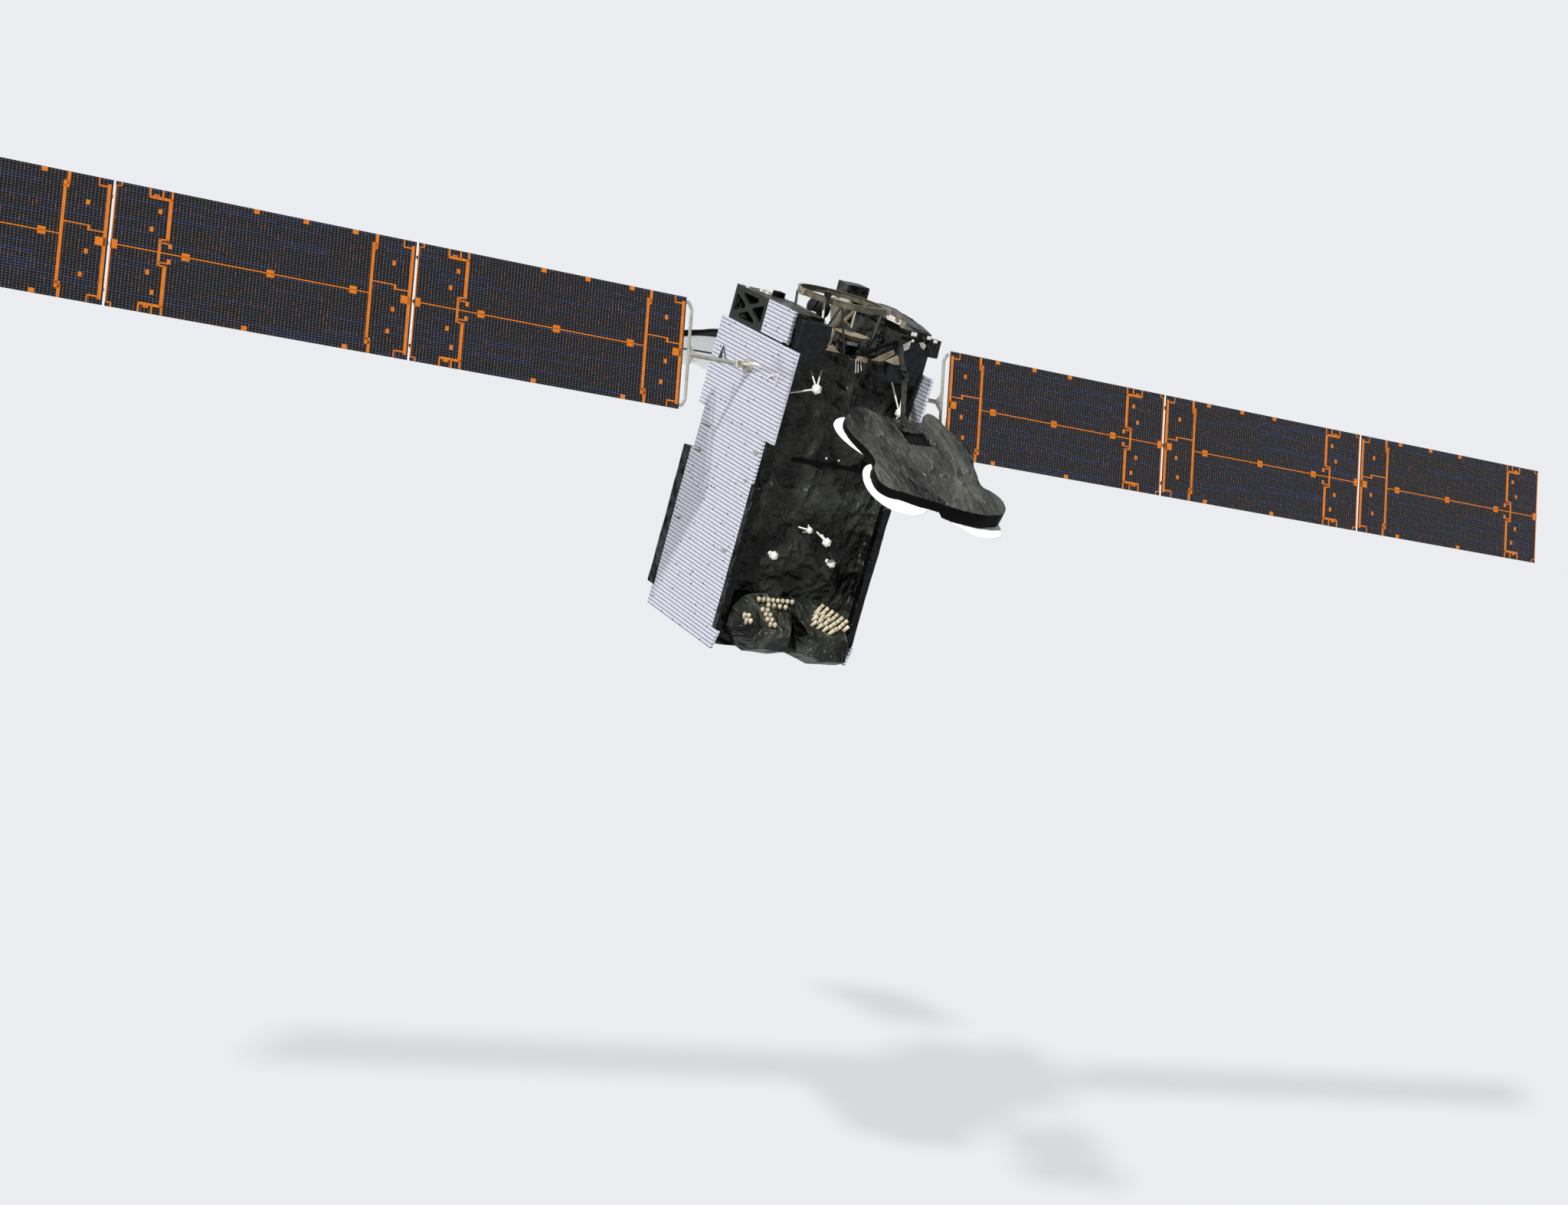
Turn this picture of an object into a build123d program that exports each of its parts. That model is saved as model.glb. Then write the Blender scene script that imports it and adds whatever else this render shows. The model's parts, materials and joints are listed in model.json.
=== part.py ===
from build123d import *
import math
import os

# Deployed geostationary communications satellite.
# Millimetres. +Z points out of the launch ring, away from the Earth. +Y is the north wing,
# +X is the east face. Everything is drawn about the point where the wing axis crosses the
# body's centre line, and is moved down at export so that the origin lies in the launch
# ring's separation plane.

# Body
EAST_X = 900
SIDE_Y = 1049
DECK_Z = 462
WAIST_Z = -1400
EARTH_DECK_TOP = -3420
EARTH_DECK_END = -3692
EARTH_DECK_X = 1010
LOWER_EAST_X = 845
LOWER_WEST_X = -970
LOWER_Y = 970

# Radiators
RADIATOR_T = 40
RADIATOR_UP_X = 1085
RADIATOR_UP_Z = -795
RADIATOR_SPLIT_Z = -140
RADIATOR_GAP = 3
RADIATOR_LOW_WEST_X = -900
SEAM_W = 6
SEAM_D = 6

# Cheeks: black slabs beside the lower radiators
CHEEK_Y = 125
CHEEK_EAST_X = 970
CHEEK_WEST_X = -1170
CHEEK_TOP_Z = -1420

# Lower blankets on the east and west faces
BLANKET_T = 16
BLANKET_Y = 950

# Side modules at the ring end
ATTIC_WEST_X = -907
ATTIC_EAST_X = 760
ATTIC_IN_Y = 600
ATTIC_TOP_Z = 935
FRAME_EAST_X = 8
MIRROR_WEST_X = 23
MIRROR_EAST_X = 750
MIRROR_BOTTOM_Z = 487
FRAME_BAR = 62
FRAME_FILLET = 30
APRON_X = 915
APRON_T = 15
APRON_IN_Y = 430
APRON_OUT_Y = 1010
APRON_HANG_Z = 270
APRON_HANG_Y = 930

# Hood on the north module
HOOD_IN_Y = 622
HOOD_OUT_Y = 960
HOOD_WEST_X = -480
HOOD_EAST_X = 740
HOOD_WEST_Z = 1120
HOOD_CREST = (100, 1102)
HOOD_EAST_Z = 1030
RAIL_X = (-133, 636)
RAIL_Z = (1030, 1100)
RAIL_T = 12

# Launch ring and what stands on the deck
RING_TOP = 1170
RING_H = 85
RING_R = 597
RING_WALL = 12
FLANGE_H = 10
FLANGE_R = 605
FLANGE_IN_R = 570
STRUT_R = 16
STRUT_PAIRS = 4
STRUT_FIRST = 62
STRUT_SPREAD = 24
STRUT_FOOT_R = 560
ENGINE_Y = 15
ENGINE_BASE_Z = 700
ENGINE_EXIT_Z = 1124
ENGINE_THROAT_R = 34
ENGINE_EXIT_R = 136
ENGINE_WALL = 5
ENGINE_MOUNT_R = 80
SHIELD_X = 330
SHIELD_Y = 105
SHIELD_R = 262
SHIELD_D = 95
SHIELD_Z = 745
SHIELD_WALL = 8
SHIELD_LEG = 180
TANK_R = 165
TANK_X = -400
TANK_Y = -60
TANK_Z = 895
TANK_LEG_R = 30
BOX_X = -690
BOX_Y = 575
BOX_Z = 1194
BOX_SIZE = (300, 340, 180)
BOX_LEG = 130

# Wing
WING_TILT = 22.26
PANEL_W = 1500
PANEL_L = 3880
PANEL_T = 24
PANEL_GAP = 28
PANEL_COUNT = 3
PANEL_START = 2142
PANEL_HINGE_OUT = 18
YOKE_HINGE_OUT = 26
LUG_R = 8
LUG_W = 12
LUG_PLAY = 1
PIN_R = 4
PIN_PLAY = 0.1
PANEL_HINGE_IN = 190
YOKE_HINGE_IN = 60
ROOT_U = 1300
ROOT_R = 30
ROOT_PIN_R = 12
TONGUE_W = 56
EAR_W = 16
EAR_PLAY = 1.5
DRIVE_R = 90
DRIVE_OUT = 1165
DRIVE_DEPTH = 50
SHAFT_R = 35
BOOM_R = 30
SPREADER_GAP = 92
SPREADER_R = 22
SPREADER_IN = 150
HINGE_PAD_L = 18
TEE_R = 90
TEE_T = 30
SPREADER_U = PANEL_START - SPREADER_GAP
SPREADER_V = PANEL_W / 2 - SPREADER_IN
SPREADER_END_U = PANEL_START - PANEL_GAP - HINGE_PAD_L
YOKE_HINGE_V = (YOKE_HINGE_IN - PANEL_W / 2, PANEL_W / 2 - YOKE_HINGE_IN)
PANEL_HINGE_V = (PANEL_HINGE_IN - PANEL_W / 2, 0, PANEL_W / 2 - PANEL_HINGE_IN)

# Reflector: axis s runs outward along its face, y is north, z is the back's normal
REFLECTOR_TILT = 22
REFLECTOR_X = 2337
REFLECTOR_Y = -20
REFLECTOR_Z = -52
BACK_T = 60
BACK_FILLET = 40
DISH_R = 2085
DISH_T = 14
DISH_TOP = -75
DISH_Y = 40
DISH_SEMI_Y = 950
DISH_SPLIT = 465
DISH_SPLIT_GAP = 10
RIB_R = 30
RECESS = 200
RECESS_D = 40
STOW_ANGLE = 68
STOWED_X = 1330
STOWED_Z = -450
PIVOT_Y = 312
PIVOT_R = 40
PIVOT_PIN_R = 14
ARM_R = 34
ARM_START = 95
OUTRIGGER_R = 42
EAST_ROOT = (APRON_X, 519, 810)
WEST_ROOT = (-ATTIC_WEST_X, 680, 760)

# Feeds
FEED_DEPTH = 474
FEED_TOP_Z = -2875
FEED_TAPER = 10
HORN_R = 17
HORN_TIP_R = 10
HORN_L = 155
HORN_SINK = 60


def block(x0, x1, y0, y1, z0, z1):
    """A box between two corners."""
    centre = Pos((x0 + x1) / 2, (y0 + y1) / 2, (z0 + z1) / 2)
    return centre * Box(x1 - x0, y1 - y0, z1 - z0)


def rod(p, q, r):
    """A round bar from p to q."""
    p = Vector(*p)
    q = Vector(*q)
    run = q - p
    bar = Cylinder(r, run.length, align=(Align.CENTER, Align.CENTER, Align.MIN))
    return Plane(origin=p, z_dir=run).location * bar


def north(solid):
    """The same piece on the north side."""
    return mirror(solid, about=Plane.XZ)


def west(solid):
    """The same piece turned half round the body."""
    return Rot(0, 0, 180) * solid


def plate_xz(points, y0, y1):
    """A plate whose outline is given as (x, z) corners, from y0 to y1."""
    face = make_face(Plane.XZ.offset(-y0) * Polyline(*points, close=True))
    return extrude(face, amount=y1 - y0, dir=(0, 1, 0))


def save(name, *solids):
    """Write one node, moved so that the origin is in the ring's separation plane."""
    moved = [Pos(0, 0, -RING_TOP) * s for s in solids]
    node = moved[0] if len(moved) == 1 else Compound(children=moved)
    export_step(node, f"parts/{name}.step")


# Bus core
def bus_core():
    upper = block(-EAST_X, EAST_X, -SIDE_Y, SIDE_Y, WAIST_Z, DECK_Z)
    middle = block(LOWER_WEST_X, EAST_X, -LOWER_Y, LOWER_Y, EARTH_DECK_TOP, WAIST_Z)
    backing = block(LOWER_WEST_X, LOWER_EAST_X, -SIDE_Y, SIDE_Y, EARTH_DECK_TOP, WAIST_Z)
    deck = block(LOWER_WEST_X, EAST_X, -SIDE_Y, SIDE_Y, EARTH_DECK_END, EARTH_DECK_TOP)
    out = upper + middle + backing + deck
    for y0, y1 in ((-SIDE_Y, -LOWER_Y), (LOWER_Y, SIDE_Y)):
        out += block(-EARTH_DECK_X, EARTH_DECK_X, y0, y1, EARTH_DECK_END, EARTH_DECK_TOP)
    return out


def radiator_upper():
    """South upper radiator, with the seam between its two panels."""
    y0 = -SIDE_Y - RADIATOR_T
    plate = block(-RADIATOR_UP_X, RADIATOR_UP_X, y0, -SIDE_Y, RADIATOR_UP_Z, DECK_Z)
    z = RADIATOR_SPLIT_Z
    seam = block(-RADIATOR_UP_X, RADIATOR_UP_X, y0, y0 + SEAM_D, z - SEAM_W / 2, z + SEAM_W / 2)
    return plate - seam


def radiator_lower():
    """South lower radiator, one plate with the stepped outline down to the earth deck."""
    top = RADIATOR_UP_Z - RADIATOR_GAP
    corners = [
        (RADIATOR_LOW_WEST_X, top),
        (RADIATOR_LOW_WEST_X, WAIST_Z),
        (LOWER_WEST_X, WAIST_Z),
        (LOWER_WEST_X, EARTH_DECK_TOP),
        (-EARTH_DECK_X, EARTH_DECK_TOP),
        (-EARTH_DECK_X, EARTH_DECK_END),
        (EARTH_DECK_X - 82, EARTH_DECK_END),
        (EARTH_DECK_X, EARTH_DECK_TOP),
        (LOWER_EAST_X, EARTH_DECK_TOP),
        (LOWER_EAST_X, top),
    ]
    return plate_xz(corners, -SIDE_Y - RADIATOR_T, -SIDE_Y)


def cheeks():
    """Four black slabs, the lower end of each cut at a slant."""
    out = []
    for inner, outer in ((LOWER_EAST_X, CHEEK_EAST_X), (LOWER_WEST_X, CHEEK_WEST_X)):
        corners = [
            (inner, CHEEK_TOP_Z),
            (outer, CHEEK_TOP_Z),
            (outer, EARTH_DECK_TOP),
            (inner, EARTH_DECK_TOP),
        ]
        slab = plate_xz(corners, -LOWER_Y - CHEEK_Y, -LOWER_Y)
        out += [slab, north(slab)]
    return out


def blanket(x):
    """Thin blanket over a lower face."""
    return block(x, x + BLANKET_T, -BLANKET_Y, BLANKET_Y, EARTH_DECK_TOP, WAIST_Z)


# Ring-end modules
def attic():
    """South side module with the open bay behind its X-braced frame."""
    body = block(ATTIC_WEST_X, ATTIC_EAST_X, -SIDE_Y, -ATTIC_IN_Y, DECK_Z, ATTIC_TOP_Z)
    bay = block(
        ATTIC_WEST_X + FRAME_BAR,
        FRAME_EAST_X - FRAME_BAR,
        -SIDE_Y,
        -SIDE_Y + 260,
        DECK_Z + FRAME_BAR,
        ATTIC_TOP_Z - FRAME_BAR,
    )
    return body - bay


def attic_frame():
    """South frame: a plate with four rounded triangular openings round an X."""
    y0 = -SIDE_Y - RADIATOR_T
    plate = block(ATTIC_WEST_X, FRAME_EAST_X, y0, -SIDE_Y, DECK_Z, ATTIC_TOP_Z)
    x0 = ATTIC_WEST_X + FRAME_BAR
    x1 = FRAME_EAST_X - FRAME_BAR
    z0 = DECK_Z + FRAME_BAR
    z1 = ATTIC_TOP_Z - FRAME_BAR
    xm = (x0 + x1) / 2
    zm = (z0 + z1) / 2
    gap = FRAME_BAR * 0.72
    openings = [
        [(x0 + gap, z0), (x1 - gap, z0), (xm, zm - gap)],
        [(x0 + gap, z1), (x1 - gap, z1), (xm, zm + gap)],
        [(x0, z0 + gap), (x0, z1 - gap), (xm - gap, zm)],
        [(x1, z0 + gap), (x1, z1 - gap), (xm + gap, zm)],
    ]
    for corners in openings:
        hole = plate_xz(corners, y0 - 1, -SIDE_Y + 1)
        hole = fillet(hole.edges().filter_by(Axis.Y), FRAME_FILLET)
        plate -= hole
    return plate


def attic_mirror():
    y0 = -SIDE_Y - RADIATOR_T
    return block(MIRROR_WEST_X, MIRROR_EAST_X, y0, -SIDE_Y, MIRROR_BOTTOM_Z, ATTIC_TOP_Z)


def apron():
    """South apron: the blanket box on the module's east end and the sheet that hangs from it."""
    box = block(ATTIC_EAST_X, APRON_X, -APRON_OUT_Y, -APRON_IN_Y, DECK_Z, ATTIC_TOP_Z - 20)
    sheet = block(EAST_X, APRON_X, -APRON_HANG_Y, -APRON_IN_Y, APRON_HANG_Z, DECK_Z)
    return box + sheet


def hood():
    """Arched cover on the north module."""
    x0, x1 = HOOD_WEST_X, HOOD_EAST_X
    foot = Polyline((x1, HOOD_EAST_Z), (x1, ATTIC_TOP_Z), (x0, ATTIC_TOP_Z), (x0, HOOD_WEST_Z))
    crest = ThreePointArc((x0, HOOD_WEST_Z), HOOD_CREST, (x1, HOOD_EAST_Z))
    face = make_face(Plane.XZ.offset(-HOOD_IN_Y) * (foot + crest))
    return extrude(face, amount=HOOD_OUT_Y - HOOD_IN_Y, dir=(0, 1, 0))


def rail():
    return block(*RAIL_X, HOOD_IN_Y - RAIL_T, HOOD_IN_Y, *RAIL_Z)


# Launch ring, engine and deck equipment
def launch_ring():
    """Flanged ring; its top face is the separation plane."""
    z0 = RING_TOP - RING_H
    web = Cylinder(RING_R, RING_H) - Cylinder(RING_R - RING_WALL, RING_H)
    flange = Cylinder(FLANGE_R, FLANGE_H) - Cylinder(FLANGE_IN_R, FLANGE_H)
    web = Pos(0, 0, z0 + RING_H / 2) * web
    top = Pos(0, 0, RING_TOP - FLANGE_H / 2) * flange
    bottom = Pos(0, 0, z0 + FLANGE_H / 2) * flange
    return web + top + bottom


def ring_struts():
    """Pairs of struts from the deck to the ring, each pair meeting under the ring."""
    out = []
    head_z = RING_TOP - RING_H
    keep = Pos(0, 0, (DECK_Z + head_z) / 2) * Cylinder(2 * RING_R, head_z - DECK_Z)
    for i in range(STRUT_PAIRS):
        a = math.radians(STRUT_FIRST + 360 / STRUT_PAIRS * i)
        head = (RING_R * math.cos(a), RING_R * math.sin(a), head_z + 30)
        pair = None
        for turn in (-STRUT_SPREAD, STRUT_SPREAD):
            b = a + math.radians(turn)
            foot = (STRUT_FOOT_R * math.cos(b), STRUT_FOOT_R * math.sin(b), DECK_Z - 30)
            bar = rod(foot, head, STRUT_R)
            pair = bar if pair is None else pair + bar
        out.append(pair & keep)
    return out


def apogee_engine():
    """Thrust chamber on its mount, with an open bell nozzle."""
    z0, z1 = ENGINE_BASE_Z, ENGINE_EXIT_Z
    outer = ThreePointArc(
        (ENGINE_THROAT_R, z0), (ENGINE_EXIT_R * 0.66, z0 + (z1 - z0) * 0.42), (ENGINE_EXIT_R, z1)
    )
    t = ENGINE_WALL
    inner = ThreePointArc(
        (ENGINE_EXIT_R - t, z1),
        (ENGINE_EXIT_R * 0.66 - t, z0 + (z1 - z0) * 0.42),
        (ENGINE_THROAT_R - t, z0),
    )
    rim = Line((ENGINE_EXIT_R, z1), (ENGINE_EXIT_R - t, z1))
    foot = Line((ENGINE_THROAT_R - t, z0), (ENGINE_THROAT_R, z0))
    face = make_face(Plane.XZ * (outer + rim + inner + foot))
    bell = revolve(face, Axis.Z)
    chamber = Pos(0, 0, z0 - 60) * Cylinder(ENGINE_THROAT_R + 22, 120)
    mount_h = z0 - 120 - DECK_Z
    mount = Pos(0, 0, DECK_Z + mount_h / 2) * Cylinder(ENGINE_MOUNT_R, mount_h)
    return Pos(0, ENGINE_Y, 0) * (bell + chamber + mount)


def heat_shield():
    """Shallow open bowl beside the engine, on its box bracket."""
    bowl_r = (SHIELD_R**2 + SHIELD_D**2) / (2 * SHIELD_D)
    inner = Pos(0, 0, bowl_r) * Sphere(bowl_r - SHIELD_WALL)
    keep = Pos(0, 0, SHIELD_D / 2) * Cylinder(SHIELD_R + 1, SHIELD_D)
    bowl = Pos(0, 0, bowl_r) * Sphere(bowl_r) & keep
    half = SHIELD_LEG / 2
    leg = block(-half, half, -half, half, DECK_Z - SHIELD_Z, SHIELD_D)
    return Pos(SHIELD_X, SHIELD_Y, SHIELD_Z) * (bowl + leg - inner)


def tank():
    ball = Pos(TANK_X, TANK_Y, TANK_Z) * Sphere(TANK_R)
    leg = rod((TANK_X, TANK_Y, DECK_Z), (TANK_X, TANK_Y, TANK_Z), TANK_LEG_R)
    return ball + leg


def deck_box():
    dx, dy, dz = BOX_SIZE
    box = Pos(BOX_X, BOX_Y, BOX_Z) * Box(dx, dy, dz)
    y0 = ATTIC_IN_Y + 10
    x0 = BOX_X - BOX_LEG / 2
    leg = block(x0, x0 + BOX_LEG, y0, BOX_Y + dy / 2, ATTIC_TOP_Z, BOX_Z)
    return box + leg


# Wing, in its own frame: x outboard, y across, z out of the cell side
def lug(hinge_u, hinge_n, edge_u, v, width, bore):
    """A hinge lug from a panel's edge to its hinge axis."""
    half = PANEL_T / 2
    corners = [
        (edge_u, -half),
        (edge_u, half),
        (hinge_u, hinge_n + (LUG_R if hinge_n > 0 else -LUG_R)),
        (hinge_u, hinge_n - (LUG_R if hinge_n > 0 else -LUG_R)),
    ]
    if hinge_n < 0:
        corners[0], corners[1] = corners[1], corners[0]
    arm = plate_xz(corners, v - width / 2, v + width / 2)
    eye = Pos(hinge_u, v, hinge_n) * Rot(90, 0, 0) * Cylinder(LUG_R, width)
    out = arm + eye
    if bore:
        out -= Pos(hinge_u, v, hinge_n) * Rot(90, 0, 0) * Cylinder(bore, width + 2)
    return out


def hinge_u(i):
    """Outboard place of hinge line i: 0 is yoke to panel 1."""
    return PANEL_START - PANEL_GAP / 2 + i * (PANEL_L + PANEL_GAP)


def hinge_n(i):
    """How far hinge line i lies out of the panels' middle plane."""
    return (-YOKE_HINGE_OUT, PANEL_HINGE_OUT, -PANEL_HINGE_OUT)[i]


def hinge_rows(i):
    return YOKE_HINGE_V if i == 0 else PANEL_HINGE_V


def outer_lugs(i):
    """The pair of lugs and the pin on the inboard side of hinge line i."""
    u, n = hinge_u(i), hinge_n(i)
    out = []
    step = LUG_W + LUG_PLAY
    for v in hinge_rows(i):
        pair = lug(u, n, u - PANEL_GAP / 2, v - step, LUG_W, 0)
        pair += lug(u, n, u - PANEL_GAP / 2, v + step, LUG_W, 0)
        pair += Pos(u, v, n) * Rot(90, 0, 0) * Cylinder(PIN_R, 2 * step)
        out.append(pair)
    return out


def inner_lugs(i):
    """The single bored lugs on the outboard side of hinge line i."""
    u, n = hinge_u(i), hinge_n(i)
    rows = hinge_rows(i)
    return [lug(u, n, u + PANEL_GAP / 2, v, LUG_W, PIN_R + PIN_PLAY) for v in rows]


def panel(i):
    """Solar panel i, counted outward from 0."""
    u0 = PANEL_START + i * (PANEL_L + PANEL_GAP)
    out = block(u0, u0 + PANEL_L, -PANEL_W / 2, PANEL_W / 2, -PANEL_T / 2, PANEL_T / 2)
    for piece in inner_lugs(i):
        out += piece
    if i + 1 < PANEL_COUNT:
        for piece in outer_lugs(i + 1):
            out += piece
    return out


def yoke():
    """Boom with a root tongue, T joint, spreader and the panel hinges."""
    bore = Pos(ROOT_U, 0, 0) * Rot(90, 0, 0) * Cylinder(ROOT_PIN_R + PIN_PLAY, TONGUE_W + 2)
    eye = Pos(ROOT_U, 0, 0) * Rot(90, 0, 0) * Cylinder(ROOT_R - 2, TONGUE_W)
    start = ROOT_U + ROOT_R + 15
    neck = block(ROOT_U, start + 20, -TONGUE_W / 2, TONGUE_W / 2, -ROOT_R + 8, ROOT_R - 8)
    out = eye + neck - bore
    out += rod((start, 0, 0), (SPREADER_U, 0, 0), BOOM_R)
    out += rod((SPREADER_U, -SPREADER_V, 0), (SPREADER_U, SPREADER_V, 0), SPREADER_R)
    tee = [
        (SPREADER_U, -TEE_R - 60),
        (SPREADER_U, TEE_R + 60),
        (SPREADER_U - TEE_R, BOOM_R),
        (SPREADER_U - 3 * TEE_R, BOOM_R * 0.6),
        (SPREADER_U - 3 * TEE_R, -BOOM_R * 0.6),
        (SPREADER_U - TEE_R, -BOOM_R),
    ]
    face = make_face(Polyline(*tee, close=True))
    out += Pos(0, 0, -TEE_T / 2) * extrude(face, amount=TEE_T)
    edge = hinge_u(0) - PANEL_GAP / 2
    for v in YOKE_HINGE_V:
        side = math.copysign(1, v)
        out += Pos(SPREADER_U, side * SPREADER_V, 0) * Sphere(SPREADER_R)
        out += rod((SPREADER_U, side * SPREADER_V, 0), (SPREADER_END_U, v, 0), SPREADER_R)
        pad = 2 * LUG_W
        out += block(SPREADER_END_U, edge, v - pad, v + pad, -PANEL_T / 2, PANEL_T / 2)
    for piece in outer_lugs(0):
        out += piece
    return out


# The bracket on the boom: columns are u at the foot, u at the top
YOKE_LEGS = ((1470, 1520), (1600, 1520))
YOKE_BRACKET_V = -205


def yoke_bracket():
    """Black A-shaped bracket on the boom."""
    out = None
    cut = rod((ROOT_U + 60, 0, 0), (SPREADER_U, 0, 0), BOOM_R)
    for foot, top in YOKE_LEGS:
        leg = rod((foot, 0, 0), (top, YOKE_BRACKET_V, 0), 9)
        out = leg if out is None else out + leg
    web = [(1535, 0), (1595, 0), (1520, YOKE_BRACKET_V)]
    out += Pos(0, 0, -3) * extrude(make_face(Polyline(*web, close=True)), amount=6)
    return out - cut


def drive_shaft():
    """Drive shaft with the fork and pin that carry the yoke."""
    fork_u = ROOT_U - ROOT_R - 8
    shaft = rod((DRIVE_OUT - DRIVE_DEPTH + 0.5, 0, 0), (fork_u - 26, 0, 0), SHAFT_R)
    out_v = TONGUE_W / 2 + EAR_PLAY + EAR_W
    out = shaft + block(fork_u - 27, fork_u, -out_v, out_v, -ROOT_R, ROOT_R)
    for side in (-1, 1):
        v = side * (out_v - EAR_W / 2)
        ear = block(fork_u, ROOT_U, v - EAR_W / 2, v + EAR_W / 2, -ROOT_R, ROOT_R)
        out += ear + Pos(ROOT_U, v, 0) * Rot(90, 0, 0) * Cylinder(ROOT_R, EAR_W)
    return out + Pos(ROOT_U, 0, 0) * Rot(90, 0, 0) * Cylinder(ROOT_PIN_R, 2 * out_v)


def drive_housing():
    """Round drive housing on the radiator, with the shaft's bore."""
    face_u = SIDE_Y + RADIATOR_T
    body = rod((face_u, 0, 0), (DRIVE_OUT, 0, 0), DRIVE_R)
    return body - rod((DRIVE_OUT - DRIVE_DEPTH, 0, 0), (DRIVE_OUT + 1, 0, 0), SHAFT_R + PIN_PLAY)


TILT = math.radians(WING_TILT)
CELL_NORMAL = (math.cos(TILT), 0, math.sin(TILT))
WING_FRAMES = {
    "north": Plane(origin=(0, 0, 0), x_dir=(0, 1, 0), z_dir=CELL_NORMAL).location,
    "south": Plane(origin=(0, 0, 0), x_dir=(0, -1, 0), z_dir=CELL_NORMAL).location,
}


# Reflector outline: columns are y across and s outward, from the inner end round
BACK_OUTLINE = (
    (-772, -291),
    (-608, -342),
    (-354, -268),
    (-211, -157),
    (24, -200),
    (341, -314),
    (567, -450),
    (609, -282),
    (810, -184),
    (1040, 193),
    (953, 354),
    (803, 713),
    (801, 936),
    (953, 1076),
    (975, 1386),
    (667, 1946),
    (6, 2040),
    (-123, 1841),
    (-378, 1760),
    (-831, 1555),
    (-954, 1122),
    (-799, 899),
    (-845, 627),
    (-940, 108),
)
# Dishes: columns are centre s, half length along s, and the cut side (-1 outward, +1 inward)
DISHES = ((90, 530, 1), (1030, 750, -1))
# Ribs under the back: columns are s and y
RIBS = ((-60, -420), (-60, 460), (260, -420), (260, 460), (900, -420), (900, 460), (1400, 20))


def reflector_back():
    """Scalloped black back panel with its ribs and the recess round the bracket."""
    corners = [(s, y) for y, s in BACK_OUTLINE]
    slab = Pos(0, 0, -BACK_T) * extrude(make_face(Polyline(*corners, close=True)), amount=BACK_T)
    slab = fillet(slab.edges().filter_by(Axis.Z), BACK_FILLET)
    slab -= Pos(150, 150, -RECESS_D / 2) * Box(RECESS, RECESS, RECESS_D)
    for s, y in RIBS:
        centre_s = DISHES[0][0] if s < DISH_SPLIT else DISHES[1][0]
        rib = Pos(s, y, -BACK_T - 100) * Cylinder(RIB_R, 200)
        slab += rib - Pos(centre_s, DISH_Y, DISH_TOP - DISH_R) * Sphere(DISH_R)
    return slab


def reflector_dishes():
    """Two thin dishes in tandem, each a spherical shell trimmed to an oval."""
    out = []
    for centre_s, semi_s, side in DISHES:
        at = Pos(centre_s, DISH_Y, DISH_TOP - DISH_R)
        oval = extrude(Ellipse(semi_s, DISH_SEMI_Y).face(), amount=DISH_R)
        oval = Pos(centre_s, DISH_Y, -DISH_R) * oval
        edge = DISH_SPLIT - side * DISH_SPLIT_GAP / 2
        far = edge - side * DISH_R
        keep = block(min(edge, far), max(edge, far), -DISH_R, DISH_R, -DISH_R, 0)
        out.append((at * Sphere(DISH_R) - at * Sphere(DISH_R - DISH_T)) & oval & keep)
    return out


REFLECTOR_LEAN = math.radians(REFLECTOR_TILT)
REFLECTOR_FRAME = Plane(
    origin=(REFLECTOR_X, REFLECTOR_Y, REFLECTOR_Z),
    x_dir=(math.cos(REFLECTOR_LEAN), 0, -math.sin(REFLECTOR_LEAN)),
    z_dir=(math.sin(REFLECTOR_LEAN), 0, math.cos(REFLECTOR_LEAN)),
).location


def pivot():
    """The hinge that swings the deployed place onto the stowed one, as (x, z)."""
    turn = math.radians(STOW_ANGLE)
    c, s = math.cos(turn), math.sin(turn)
    dx = REFLECTOR_X - (c * STOWED_X - s * STOWED_Z)
    dz = REFLECTOR_Z - (s * STOWED_X + c * STOWED_Z)
    det = (1 - c) ** 2 + s**2
    return ((1 - c) * dx - s * dz) / det, (s * dx + (1 - c) * dz) / det


PIVOT_X, PIVOT_Z = pivot()


def reflector_arm():
    """Arm from the hinge tongue down to the reflector's back."""
    axis = (PIVOT_X, PIVOT_Y, PIVOT_Z)
    eye = Pos(*axis) * Rot(90, 0, 0) * Cylinder(PIVOT_R, TONGUE_W)
    hole = Pos(*axis) * Rot(90, 0, 0) * Cylinder(PIVOT_PIN_R + PIN_PLAY, TONGUE_W + 2)
    end = Vector(REFLECTOR_X, REFLECTOR_Y, REFLECTOR_Z)
    run = (end - Vector(*axis)).normalized()
    start = Vector(*axis) + run * ARM_START
    bar = rod(tuple(start), tuple(end), ARM_R)
    lean = math.degrees(math.atan2(-run.Z, run.X))
    neck = Box(ARM_START, TONGUE_W, 2 * ARM_R, align=(Align.MIN, Align.CENTER, Align.CENTER))
    eye += Pos(*axis) * Rot(0, lean, 0) * neck
    pad = REFLECTOR_FRAME * (Pos(0, 0, 12) * Cylinder(95, 24))
    below = REFLECTOR_FRAME * (Pos(0, 0, -300) * Box(1200, 1200, 600))
    return (eye + bar + pad) - hole - below


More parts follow.
